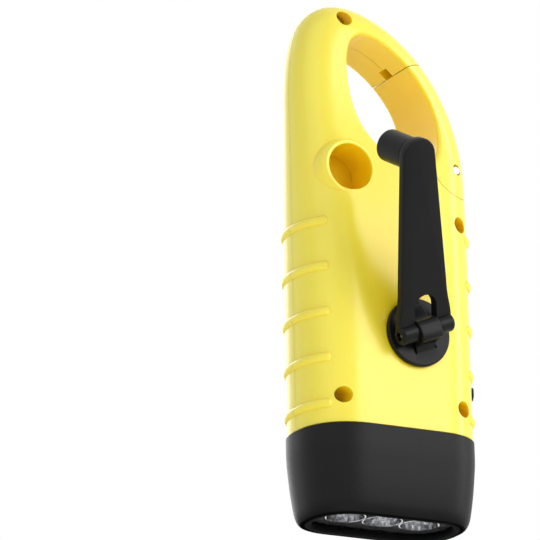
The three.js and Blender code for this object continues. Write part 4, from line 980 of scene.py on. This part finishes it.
finish_piece("solar_frame", bezel_form(), "housing", ["solar_bezel"], sharp=40)

# %% [markdown]
# ## Button
# The button on the side is a pill that follows the housing's curve, so it is the body's form, grown a
# little, kept only where the pill is. A flange behind the wall stops it from falling out.

# %% Button
BUTTON_PROUD, BUTTON_BACK, FLANGE_LONGER, FLANGE_HIGHER = 0.7, 3.1, 0.5, 0.8
STEM_RADIUS, STEM_END, STEM_Y, STEM_SUNK = 1.2, 3.8, -2.05, 0.52


def button_form():
    """Face, flange and stem of the button, from the body's form at three insets."""
    face = common(button_prism(0, 0), body_form(-BUTTON_PROUD, 30, 24, 4))
    flange = common(button_prism(FLANGE_LONGER, FLANGE_HIGHER), body_form(WALL + SEAT_GAP, 20, 24, 4))
    shape = carved(joined(face, flange), body_form(BUTTON_BACK, 20, 24, 4))
    stem = drum(STEM_RADIUS, BUTTON_BACK - HALF_WIDTH - STEM_SUNK, STEM_END - HALF_WIDTH, along_x,
                (0, STEM_Y, BUTTON_Z), 32)
    return joined(shape, stem)


finish_piece("power_button", button_form(), "button", ["side_button"])

# %% [markdown]
# ## Crank
# The crank has a hub with a hinge block, an arm that folds over it, a steel hinge pin, and a knob that
# spins on the arm's stub. They are built in their own frames, with X along the arm, and then turned to
# the place where the CAD holds them.

# %% Frames of the crank
HINGE_Y, HINGE_BORE, TIP_RADIUS = 18.4, 1.15, 4.8
HEADING, TILT = QUARTER - ARM_TURN, math.radians(31.9)
hub_turn = np.array([[math.cos(HEADING), 0, -math.sin(HEADING), HUB[0]], [0, 1, 0, 0],
                     [math.sin(HEADING), 0, math.cos(HEADING), HUB[1]], [0, 0, 0, 1]])
arm_tilt = np.array([[math.cos(TILT), -math.sin(TILT), 0, 0],
                     [math.sin(TILT), math.cos(TILT), 0, HINGE_Y], [0, 0, 1, 0], [0, 0, 0, 1]])
arm_turn = hub_turn @ arm_tilt
knob_shift = np.eye(4)
knob_shift[0, 3] = ARM_LENGTH
knob_turn = arm_turn @ knob_shift
print("knob centre at", np.round(knob_turn[:3, 3] + SHIFT, 2))

# %% Hub
HUB_LOW, HUB_HIGH, HUB_RADIUS, HUB_EDGE = 14.5, 15.7, 8.75, 0.45
SHAFT_RADIUS, SHAFT_END, SHAFT_FLAT, FLAT_RANGE = 2.6, 4.5, 1.9, [1.5, 11]
HINGE_HALF, HINGE_EDGE, HINGE_FOOT = 3.1, 0.35, 6.825


def hub_form():
    """A disc with a soft edge, a shaft with a flat, and a hinge block with a round top."""
    rim = soft_corner(HUB_RADIUS, HUB_HIGH, HUB_EDGE)
    disc = turned(np.vstack([[(0, HUB_LOW), (HUB_RADIUS, HUB_LOW)], rim, [(0, HUB_HIGH)]]), 96, along_y)
    shaft = carved(drum(SHAFT_RADIUS, SHAFT_END, HUB_LOW + SKIM, along_y),
                   block([SHAFT_FLAT, 6], FLAT_RANGE, [-6, 6]))
    saddle = smooth_line([(6.6, 16.45), (2.95, 17.6), (2.8, 19.3), (2.2, 20.55), (1.2, 21.2), (0, 21.38),
                          (-1.6, 21.34), (-2.8, 20.95), (-3.32, 20.0), (-3.36, 18.2), (-3.5, 17.1),
                          (-4.375, 16.0), (-5.075, 15.68)], 5)
    outline = np.vstack([[(HINGE_FOOT, 15.68), (HINGE_FOOT, 16.2)], saddle])
    hinge = pillow(outline, -HINGE_HALF, HINGE_HALF, HINGE_EDGE, along_z)
    return carved(joined(disc, shaft, hinge), drum(HINGE_BORE, -6, 6, along_z, (0, HINGE_Y, 0), 32))


finish_piece("crank_disc", hub_form(), "crank", ["crank_hub"], turn=hub_turn)

# %% Arm
KNUCKLE_RADIUS, KNUCKLE_EDGE, ARM_ROOT, ARM_WAIST, ARM_NECK = 2.4, 0.9, 8, 7.04, 6.88
ARM_LOW, ARM_HIGH, ARM_EDGE = -1.7, 0.6, 0.45
WINDOW_END, WINDOW_REACH, STUB_RADIUS, STUB_END = 3.4, 9.2, 1.5, -9.9


def arm_form():
    """A flared plate with soft edges, two knuckles with round ends, a window between them and a stub."""
    reach = np.linspace(0, 1, 41)
    upper = bezier([(0, ARM_ROOT), (0.13 * ARM_LENGTH, ARM_ROOT), (0.12 * ARM_LENGTH, ARM_WAIST),
                    (0.26 * ARM_LENGTH, ARM_NECK)], reach)
    tip = arc((ARM_LENGTH, 0), TIP_RADIUS, QUARTER, -QUARTER, 40)
    outline = np.vstack([upper, tip, upper[::-1] * [1, -1]])[::-1]
    ends = soft_corner(KNUCKLE_RADIUS, ARM_ROOT, KNUCKLE_EDGE)
    profile = np.vstack([(ends * [1, -1])[::-1], ends, [(0, ARM_ROOT), (0, -ARM_ROOT)]])
    shape = joined(pillow(outline, ARM_LOW, ARM_HIGH, ARM_EDGE, along_y), turned(profile, 48, along_z))
    window = np.vstack([[(-6, -WINDOW_END)],
                        arc((WINDOW_REACH - WINDOW_END, 0), WINDOW_END, -QUARTER, QUARTER, 24),
                        [(-6, WINDOW_END)]])
    shape = carved(shape, prism(window, -6, 6, along_y), drum(HINGE_BORE, -12, 12, along_z, sides=32))
    return joined(shape, drum(STUB_RADIUS, STUB_END, ARM_LOW + SKIM, along_y, (ARM_LENGTH, 0, 0), 40))


finish_piece("crank_lever", arm_form(), "arm", ["crank_arm"], turn=arm_turn, sharp=34)

# %% Hinge pin
hinge_end = smooth_line([(0.9, 6.5), (0.72, 7.0), (0.42, 7.2), (0, 7.25)], 4)
finish_piece("hinge_rod", rod(hinge_end, 32, along_z), "arm", ["hinge_pin"], turn=arm_turn)

# %% Knob
KNOB_TOP, KNOB_BOTTOM, KNOB_RADIUS, KNOB_BORE, BORE_DEPTH = -2.0, -12.7, 4.1, 1.8, 8.8


def knob_form():
    """A turned knob: soft edges, a slightly domed end and a bore for the stub."""
    crown = smooth_line([(3.6, KNOB_TOP), (3.97, KNOB_TOP - 0.15), (KNOB_RADIUS, KNOB_TOP - 0.9)], 5)[:-1]
    side = smooth_line([(KNOB_RADIUS, KNOB_TOP - 0.9), (KNOB_RADIUS, -6.0),
                        (KNOB_RADIUS, KNOB_BOTTOM + 1.5), (3.98, KNOB_BOTTOM + 0.9),
                        (3.55, KNOB_BOTTOM + 0.5), (2.0, KNOB_BOTTOM + 0.14), (0, KNOB_BOTTOM)], 6)
    bore = [(0, KNOB_TOP - BORE_DEPTH), (KNOB_BORE, KNOB_TOP - BORE_DEPTH)]
    return turned(np.vstack([[(KNOB_BORE, KNOB_TOP)], crown, side, bore]), 72, along_y)


finish_piece("crank_grip", knob_form(), "knob", ["crank_knob"], turn=knob_turn)

# %% [markdown]
# ## Finishes
# Every finish is worked out from Object coordinates, which stay with a piece when it moves. Two effects
# come back in several plastics, so they share one node group: the broad clouding of a moulded colour, and
# the fine grain that a spark-eroded mould leaves, which changes roughness and height a little.
#
# The yellow needs two more things. Light enters it and comes out beside where it went in, which is
# subsurface scattering. And in wells and pockets light meets yellow plastic many times, so they look
# orange. We could wait for many bounces, but here that shade is painted: a darker, more orange colour
# where an Ambient Occlusion node finds the surface hemmed in gives the same look at once. It is painted
# shade in wells and pockets, and also beside other parts, such as under the crank.

# %% Helpers for node trees
COLOUR_A, COLOUR_B, COLOUR_OUT = 6, 7, 2


def wire_up(tree, *links):
    """Links outputs to inputs: each link is a node, its output, another node and its input."""
    for start, out, end, into in links:
        tree.links.new(start.outputs[out], end.inputs[into])


def place_node(tree, kind, inputs=None, **settings):
    """Adds a shader node, sets its properties or inputs by name, and more inputs by name or number."""
    node = tree.nodes.new("ShaderNode" + kind)
    for key, value in settings.items():
        if key in node.inputs:
            node.inputs[key].default_value = value
        else:
            setattr(node, key, value)
    for key, value in (inputs or {}).items():
        node.inputs[key].default_value = value
    return node


def reckon(tree, operation, start, out, *numbers):
    """A Math node that works on one output; the numbers are its second and third input."""
    node = place_node(tree, "Math", dict(enumerate(numbers, 1)), operation=operation)
    wire_up(tree, (start, out, node, 0))
    return node


def tinted(tree, dark, light, share, out):
    """A Mix node that goes from a dark colour to a light one by an output."""
    colours = {COLOUR_A: (*dark, 1), COLOUR_B: (*light, 1)}
    node = place_node(tree, "Mix", colours, data_type="RGBA")
    wire_up(tree, (share, out, node, 0))
    return node


def embossed(tree, shader, source, out, strength, reach):
    """A Bump node that turns a height into the shader's normal."""
    lift = place_node(tree, "Bump", Strength=strength, Distance=reach)
    wire_up(tree, (source, out, lift, "Height"), (lift, "Normal", shader, "Normal"))


def base_material(name, constants):
    """A material, its tree, a Principled shader with its constant values, and Object coordinates."""
    material = bpy.data.materials.new(name)
    material.use_nodes = True
    tree = material.node_tree
    tree.nodes.clear()
    output = place_node(tree, "OutputMaterial")
    shader = place_node(tree, "BsdfPrincipled", constants)
    wire_up(tree, (shader, 0, output, "Surface"))
    return material, tree, shader, place_node(tree, "TexCoord")


print("node helpers:", [h.__name__ for h in (place_node, wire_up, reckon, tinted, embossed)])

# %% The grain of a moulded surface
grain_tree = bpy.data.node_groups.new("moulded grain", "ShaderNodeTree")
for label, kind, value in (("Vector", "Vector", None), ("Size", "Float", 2600.0),
                           ("Roughness", "Float", 0.4), ("Spread", "Float", 0.08)):
    socket = grain_tree.interface.new_socket(label, in_out="INPUT", socket_type="NodeSocket" + kind)
    if value is not None:
        socket.default_value = value
for label in ("Roughness", "Height", "Cloud"):
    grain_tree.interface.new_socket(label, in_out="OUTPUT", socket_type="NodeSocketFloat")
grain_in, grain_out = grain_tree.nodes.new("NodeGroupInput"), grain_tree.nodes.new("NodeGroupOutput")
fine = place_node(grain_tree, "TexNoise", Detail=3.0, Roughness=0.6)
broad = place_node(grain_tree, "TexNoise", Scale=70.0, Detail=2.0, Roughness=0.5)
centred = reckon(grain_tree, "SUBTRACT", fine, "Fac", 0.5)
spread = reckon(grain_tree, "MULTIPLY_ADD", centred, 0)
wire_up(grain_tree, (grain_in, "Vector", fine, "Vector"), (grain_in, "Vector", broad, "Vector"),
        (grain_in, "Size", fine, "Scale"), (grain_in, "Spread", spread, 1),
        (grain_in, "Roughness", spread, 2), (spread, 0, grain_out, "Roughness"),
        (fine, "Fac", grain_out, "Height"), (broad, "Fac", grain_out, "Cloud"))
print("grain group has", len(grain_tree.nodes), "nodes")

# %% Plastics
GRAIN_REACH, RECESS_REACH, RECESS_RANGE = 0.00004, 0.028, (0.42, 0.97)


def grained(name, dark, light, rough, spread_by, size, bump, painted_recess_shade=None, constants=None):
    """A moulded plastic: two close colours mixed by the cloud, and the grain in roughness and height.
    A darker orange, painted shade, takes over where a surface is hemmed in."""
    material, tree, shader, spots = base_material(name, constants)
    values = {"Size": size, "Roughness": rough, "Spread": spread_by}
    grain = place_node(tree, "Group", values, node_tree=grain_tree)
    tint = tinted(tree, dark, light, grain, "Cloud")
    wire_up(tree, (spots, "Object", grain, "Vector"), (grain, "Roughness", shader, "Roughness"))
    if painted_recess_shade:
        # Painted shade: the base colour turns to the darker orange where Ambient Occlusion finds the
        # surface hemmed in.
        hemmed = place_node(tree, "AmbientOcclusion", Distance=RECESS_REACH, samples=8)
        limits = dict(zip(("From Min", "From Max"), RECESS_RANGE))
        open_share = place_node(tree, "MapRange", limits, interpolation_type="SMOOTHSTEP")
        base, tint = tint, tinted(tree, painted_recess_shade, light, open_share, "Result")
        wire_up(tree, (hemmed, "AO", open_share, "Value"), (base, COLOUR_OUT, tint, COLOUR_B))
    wire_up(tree, (tint, COLOUR_OUT, shader, "Base Color"))
    embossed(tree, shader, grain, "Height", bump, GRAIN_REACH)
    return material


GLOW = {"IOR": 1.5, "Subsurface Weight": 0.30, "Subsurface Radius": (1.0, 0.50, 0.10),
        "Subsurface Scale": 0.003}
LOW_GLOSS = {"IOR": 1.48, "Specular IOR Level": 0.17}
# The third colour is painted shade: orange in wells, in pockets and beside other parts.
yellow_plastic = grained("yellow moulded plastic", (0.97, 0.80, 0.076), (0.99, 0.825, 0.088), 0.25, 0.04,
                         1500, 0.04, painted_recess_shade=(1.0, 0.70, 0.004), constants=GLOW)
black_plastic = grained("black grained plastic", (0.005, 0.005, 0.0052), (0.009, 0.009, 0.0092), 0.42,
                        0.20, 2300, 0.5, constants=LOW_GLOSS)
# Dull black: the reflector plate's own finish, and painted shade on the faces under the lamp head.
dull_black_and_painted_shade = grained("dull black and painted shade", (0.004, 0.004, 0.004), (0.007, 0.007, 0.007), 0.75, 0.10,
                     2300, 0.3, constants={"Specular IOR Level": 0.02})
black_satin = grained("black satin plastic", (0.004, 0.004, 0.0042), (0.008, 0.008, 0.0082), 0.33,
                      0.16, 2800, 0.35, constants=LOW_GLOSS)
nylon_white = grained("natural nylon", (0.70, 0.67, 0.60), (0.78, 0.76, 0.70), 0.48, 0.12, 900, 0.2)
battery_wrap = grained("battery wrap", (0.035, 0.25, 0.15), (0.055, 0.33, 0.20), 0.3, 0.10, 500, 0.2)
plastics = (yellow_plastic, black_plastic, dull_black_and_painted_shade, black_satin, nylon_white, battery_wrap)
print("plastics:", [m.name for m in plastics])

# %% [markdown]
# Steel, copper and the magnet are metals with fine marks: noise stretched along one direction reads as
# drawn wire or turned steel. The silvered cups are metal too, and each of their small facets catches
# other light. That is painted into their colour as painted glints: each cell of a Voronoi pattern gets
# its own brightness.

# %% Metals
MARK_SIZE, MARK_REACH = 900.0, 0.00003


def metal(name, dark, light, rough, spread_by, stretch, bump=0.15):
    """A metal whose marks are noise stretched by a Mapping node."""
    material, tree, shader, spots = base_material(name, {"Metallic": 1.0})
    mapping = place_node(tree, "Mapping", Scale=stretch)
    marks = place_node(tree, "TexNoise", Scale=MARK_SIZE, Detail=4.0)
    tint = tinted(tree, dark, light, marks, "Fac")
    rough_by = reckon(tree, "MULTIPLY_ADD", marks, "Fac", spread_by, rough)
    wire_up(tree, (spots, "Object", mapping, "Vector"), (mapping, "Vector", marks, "Vector"),
            (tint, COLOUR_OUT, shader, "Base Color"), (rough_by, 0, shader, "Roughness"))
    embossed(tree, shader, marks, "Fac", bump, MARK_REACH)
    return material


def silver_with_painted_glints(name, dark, light, cell):
    """Silver with painted glints: its colour's brightness changes from facet to facet,
    with one random value for each Voronoi cell.
    """
    material, tree, shader, spots = base_material(name, {"Metallic": 1.0, "Roughness": 0.08})
    cells = place_node(tree, "TexVoronoi", Scale=1 / cell)
    tint = tinted(tree, dark, light, cells, "Color")
    wire_up(tree, (spots, "Object", cells, "Vector"), (tint, COLOUR_OUT, shader, "Base Color"))
    return material


steel = metal("bright steel", (0.50, 0.50, 0.51), (0.68, 0.68, 0.70), 0.30, 0.18, (1, 0.2, 1))
# Painted glints: the cups' silver is bright or dim from cell to cell.
glint_painted_silver = silver_with_painted_glints("silver with painted glints", (0.34, 0.34, 0.36), (1.0, 1.0, 1.0), 0.0011)
copper_wire = metal("wound copper", (0.42, 0.15, 0.06), (0.72, 0.32, 0.14), 0.3, 0.2, (0.3, 4, 0.3), 0.6)
magnet_grey = metal("sintered magnet", (0.08, 0.08, 0.09), (0.14, 0.14, 0.15), 0.4, 0.2, (1, 1, 1), 0.3)
print("metals:", [m.name for m in (steel, glint_painted_silver, copper_wire, magnet_grey)])

# %% [markdown]
# The panes and the lights are clear plastic, which lets light through and bends it. The photo's front
# pane mirrors nothing, while a flat pane seen at a low angle would mirror the whole white room. A pane
# that hardly bends light has no glare, so the front pane has an index close to that of air.

# %% Clear plastics
HAZE_SIZE, HAZE_SHADE, SMOOTHEST = 260.0, 0.985, 0.005


def clear(name, color, rough, bend):
    """Clear plastic: light passes through it, with a trace of haze from handling."""
    material, tree, shader, spots = base_material(name, {"Transmission Weight": 1.0, "IOR": bend})
    haze = place_node(tree, "TexNoise", Scale=HAZE_SIZE, Detail=3.0)
    rough_by = reckon(tree, "MULTIPLY_ADD", haze, "Fac", rough, SMOOTHEST)
    tint = tinted(tree, [HAZE_SHADE * c for c in color], color, haze, "Fac")
    wire_up(tree, (spots, "Object", haze, "Vector"), (rough_by, 0, shader, "Roughness"),
            (tint, COLOUR_OUT, shader, "Base Color"))
    return material


clear_pane = clear("clear pane", (0.97, 0.98, 0.99), 0.04, 1.49)
still_pane = clear("pane without glare", (0.97, 0.98, 0.99), 0.02, 1.02)
clear_resin = clear("clear resin", (0.97, 0.97, 0.95), 0.02, 1.5)
print("clear:", [m.name for m in (clear_pane, still_pane, clear_resin)])

# %% [markdown]
# The solar film is brown, darker at its top, with pale contact lines 3.9 mm apart and a pale edge. The
# lines come from the height within each strip: the rest after dividing by the pitch.

# %% Solar film
LINE_PITCH, LINE_HALF, LINES_FROM = 0.0039, 0.00016, 0.001
EDGE_INSET, EDGE_HALF, PALE_SHARE, CLOUD_SHARE = 0.0009, 0.00035, 0.55, 0.12
cell_low, cell_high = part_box("solar_cell")


def solar_material():
    """Brown by height with a fine cloud, pale where the height's rest in its strip is near half a pitch,
    and near both sides."""
    material, tree, shader, spots = base_material("solar film", {"Roughness": 0.3})
    parts = place_node(tree, "SeparateXYZ")
    rise = place_node(tree, "MapRange", {"From Min": cell_low[2], "From Max": cell_high[2]})
    ramp = place_node(tree, "ValToRGB")
    ramp.color_ramp.elements[0].color = (0.56, 0.22, 0.13, 1)
    ramp.color_ramp.elements[1].color = (0.24, 0.10, 0.06, 1)
    cloud = place_node(tree, "TexNoise", Scale=120.0, Detail=3.0)
    soft = place_node(tree, "Mix", {0: CLOUD_SHARE}, data_type="RGBA", blend_type="OVERLAY")
    wire_up(tree, (spots, "Object", parts, 0), (spots, "Object", cloud, "Vector"),
            (parts, "Z", rise, "Value"), (rise, "Result", ramp, "Fac"),
            (ramp, "Color", soft, COLOUR_A), (cloud, "Color", soft, COLOUR_B))
    height = reckon(tree, "SUBTRACT", parts, "Z", cell_low[2] + LINES_FROM)
    strip = reckon(tree, "WRAP", height, 0, LINE_PITCH, 0.0)
    line = reckon(tree, "COMPARE", strip, 0, LINE_PITCH / 2, LINE_HALF)
    offset = reckon(tree, "SUBTRACT", parts, "X", (cell_low[0] + cell_high[0]) / 2)
    apart = reckon(tree, "ABSOLUTE", offset, 0)
    edge = reckon(tree, "COMPARE", apart, 0, (cell_high[0] - cell_low[0]) / 2 - EDGE_INSET, EDGE_HALF)
    marks = reckon(tree, "MAXIMUM", line, 0)
    faint = reckon(tree, "MULTIPLY", marks, 0, PALE_SHARE)
    pale = place_node(tree, "Mix", {COLOUR_B: (0.78, 0.52, 0.40, 1)}, data_type="RGBA")
    wire_up(tree, (edge, 0, marks, 1), (faint, 0, pale, 0), (soft, COLOUR_OUT, pale, COLOUR_A),
            (pale, COLOUR_OUT, shader, "Base Color"))
    return material


solar_film = solar_material()
print("solar lines each", MM * LINE_PITCH, "mm")


# %% Boards and glowing chip
def board_material():
    """Green lacquer over faint copper tracks: a brick pattern gives the tracks."""
    material, tree, shader, spots = base_material("circuit board", {"Roughness": 0.35})
    tracks = place_node(tree, "TexBrick", Scale=260.0, Color1=(0.03, 0.20, 0.08, 1),
                        Color2=(0.035, 0.23, 0.095, 1), Mortar=(0.10, 0.30, 0.10, 1))
    wire_up(tree, (spots, "Object", tracks, "Vector"), (tracks, "Color", shader, "Base Color"))
    return material


board_green = board_material()
chip_yellow = grained("phosphor chip", (0.80, 0.62, 0.12), (0.90, 0.72, 0.18), 0.5, 0.05, 4000, 0.1)
print("made", board_green.name, "and", chip_yellow.name)

# %% [markdown]
# ## Dressing the pieces
# New pieces take their material by name, and the CAD pieces that stay, such as the solar pane and the
# gears inside, get theirs in the slots of their own objects.

# %% Give every new piece its material
piece_finish = (
    (yellow_plastic, ["housing_solar_half", "housing_crank_half", "hook_gate"]),
    (steel, ["gate_rivet", "gate_coil", "hinge_rod"]),
    (steel, [f"housing_screw_{name}" for name in SCREW_SPOTS]),
    (steel, [f"light_{name}_post" for name in CUP_SPOTS]),
    (black_plastic, ["lamp_head"]), (dull_black_and_painted_shade, ["reflector_plate"]), (still_pane, ["front_pane"]),
    (black_satin, ["solar_frame", "power_button", "crank_disc", "crank_lever", "crank_grip"]),
    (glint_painted_silver, [f"reflector_cup_{name}" for name in CUP_SPOTS]),
    (clear_resin, [f"light_{name}" for name in CUP_SPOTS]),
    (chip_yellow, [f"light_{name}_chip" for name in CUP_SPOTS]),
)
for material, names in piece_finish:
    for name in names:
        made_pieces[name].data.materials.append(material)
print("new pieces dressed:", sum(len(names) for _, names in piece_finish))

# %% Give every CAD piece that stays its material
node_finish = (
    (clear_pane, ["solar_window"]), (solar_film, ["solar_cell"]), (battery_wrap, ["battery"]),
    (nylon_white, ["drive_gear", "idler_gear_one", "idler_gear_two", "gear_frame"]),
    (steel, ["idler_axle_one", "idler_axle_two"]), (board_green, ["led_board", "control_board"]),
    (black_satin, ["stator", "switch"]), (magnet_grey, ["rotor"]), (copper_wire, ["stator_coil"]),
)
for material, names in node_finish:
    for name in names:
        for holder in nodes[name].material_slots:
            holder.link = "OBJECT"
            holder.material = material
print("CAD pieces dressed:", sum(len(names) for _, names in node_finish))

# %% [markdown]
# The rim of the lamp head and the wall of its mouth are duller than its sides, as the photo shows, and
# they would mirror the white room otherwise. So the head's mesh carries a second material on the faces
# that look down or towards the mouth's middle, below the mouth's upper edge. That material is duller, a
# little darker and hardly reflects: painted shade, for the shade under the head.

# %% Painted shade on the dull faces under the head
UNDER_BELOW, LOOKS_DOWN = 0.0055, -0.9
head_mesh = made_pieces["lamp_head"].data
facing, middles = np.zeros((2, 3 * len(head_mesh.polygons)), np.float32)
head_mesh.polygons.foreach_get("normal", facing)
head_mesh.polygons.foreach_get("center", middles)
facing, middles = facing.reshape(-1, 3), middles.reshape(-1, 3)
inward = np.sum(facing[:, :2] * (middles[:, :2] - SHIFT[:2] / MM), axis=1) < 0
# These faces get painted shade: a darker black that hardly reflects.
under = (middles[:, 2] < UNDER_BELOW) & ((facing[:, 2] < LOOKS_DOWN) | inward)
head_mesh.materials.append(dull_black_and_painted_shade)
head_mesh.polygons.foreach_set("material_index", under.astype(np.int32))
print("dull faces:", int(under.sum()), "of", len(under))

# %% [markdown]
# ## Studio
# The photo has a white ground and soft light from the front. The camera looks up from under the floor,
# so the floor is a plane that can't be seen from below, and it lets light from below pass. It has a hole
# where the lamp's rim hides it, so the mouth isn't shut by the floor. Large soft lamps stand round.

# %% Floor
FLOOR_RADIUS, FLOOR_SHARES, FLOOR_Z = 0.85, [0, 0.004, 0.02, 0.1, 0.4, 1.0], -0.00002


def floor_mesh():
    """A flat ring: from the middle of the lamp's rim out to a circle, blended along straight lines."""
    hole = (section((FACE_INSET + MOUTH_INSET - LIP) / 2, 16) + SHIFT[:2]) / MM
    angle = np.arctan2(hole[:, 1] - hole[:, 1].mean(), hole[:, 0])
    outer = FLOOR_RADIUS * np.stack([np.cos(angle), np.sin(angle)], -1)
    share = np.array(FLOOR_SHARES)[:, None, None]
    spots = raised(hole[None] * (1 - share) + outer[None] * share, along_z, FLOOR_Z)
    mesh = bpy.data.meshes.new("floor")
    mesh.from_pydata(spots.reshape(-1, 3).tolist(), [], ring_faces(len(share), len(hole)))
    if sum(face.normal.z for face in mesh.polygons) < 0:
        mesh.flip_normals()
    return mesh


floor = bpy.data.objects.new("floor", floor_mesh())
bpy.context.scene.collection.objects.link(floor)
print("floor has", len(floor.data.polygons), "faces")

# %% Finish of the floor
ground = bpy.data.materials.new("pale ground")
ground.use_nodes = True
tree = ground.node_tree
tree.nodes.clear()
pale_shader = place_node(tree, "BsdfDiffuse", Color=(0.88, 0.88, 0.88, 1))
see_through = place_node(tree, "BsdfTransparent")
path, geometry = place_node(tree, "LightPath"), place_node(tree, "NewGeometry")
mix, output = place_node(tree, "MixShader"), place_node(tree, "OutputMaterial")
pass_by = reckon(tree, "MAXIMUM", path, "Is Shadow Ray")
wire_up(tree, (geometry, "Backfacing", pass_by, 1), (pass_by, 0, mix, 0), (pale_shader, 0, mix, 1),
        (see_through, 0, mix, 2), (mix, 0, output, "Surface"))
floor.data.materials.append(ground)
print("the floor lets shadow rays and views from below pass")

# %% Lamps
LIGHT_MIDDLE = np.array([0.0, 0.0, 0.065])
LAMPS = {  # direction, distance in metres, width and height in metres, power in watts
    "front": ((-0.42, 0.87, 0.27), 0.9, (0.62, 0.5), 3.3),
    "key": ((0.85, 0.45, 0.75), 0.9, (0.8, 0.8), 1.3),
    "side": ((-0.92, 0.36, 0.28), 0.9, (0.20, 0.9), 2.7),
    "rear": ((-0.15, -1.0, 0.35), 0.9, (0.85, 0.6), 3.0),
    "under": ((0.15, 0.4, -0.9), 0.7, (0.5, 0.5), 1.5),
}


def soft_lamp(name, direction, distance, size, power):
    """A rectangular lamp that looks at the light's middle: its Z points back along the direction."""
    data = bpy.data.lights.new(name, "AREA")
    data.shape, data.size, data.size_y, data.energy = "RECTANGLE", *size, power
    back = np.asarray(direction, float) / np.linalg.norm(direction)
    across = np.cross([0, 0, 1], back)
    across /= np.linalg.norm(across)
    stand(data, [across, np.cross(back, across), back], LIGHT_MIDDLE + distance * back)


for name, values in LAMPS.items():
    soft_lamp(name, *values)
print("lamps:", list(LAMPS))

# %% [markdown]
# The world is white for the camera and for whatever mirrors or bends light, and half as bright where it
# lights the object.

# %% World
WORLD_LIGHT = 0.50
scene = bpy.context.scene
world = bpy.data.worlds.new("white room")
scene.world = world
world.use_nodes = True
tree = world.node_tree
tree.nodes.clear()
path = place_node(tree, "LightPath")
first = reckon(tree, "MAXIMUM", path, "Is Camera Ray")
second = reckon(tree, "MAXIMUM", first, 0)
level = place_node(tree, "MapRange", {"To Min": WORLD_LIGHT, "To Max": 1.0})
sky, output = place_node(tree, "Background", Color=(1, 1, 1, 1)), place_node(tree, "OutputWorld")
wire_up(tree, (path, "Is Glossy Ray", first, 1), (path, "Is Transmission Ray", second, 1),
        (second, 0, level, "Value"), (level, "Result", sky, "Strength"), (sky, 0, output, "Surface"))
scene.view_settings.view_transform = "Standard"
print("world:", world.name, "at", WORLD_LIGHT, "as a light")

# %% [markdown]
# ## Close the workshop
# The solids that were only tools are removed.

# %% Tidy up
for tool in list(workshop.objects):
    use_up(tool)
bpy.data.collections.remove(workshop)
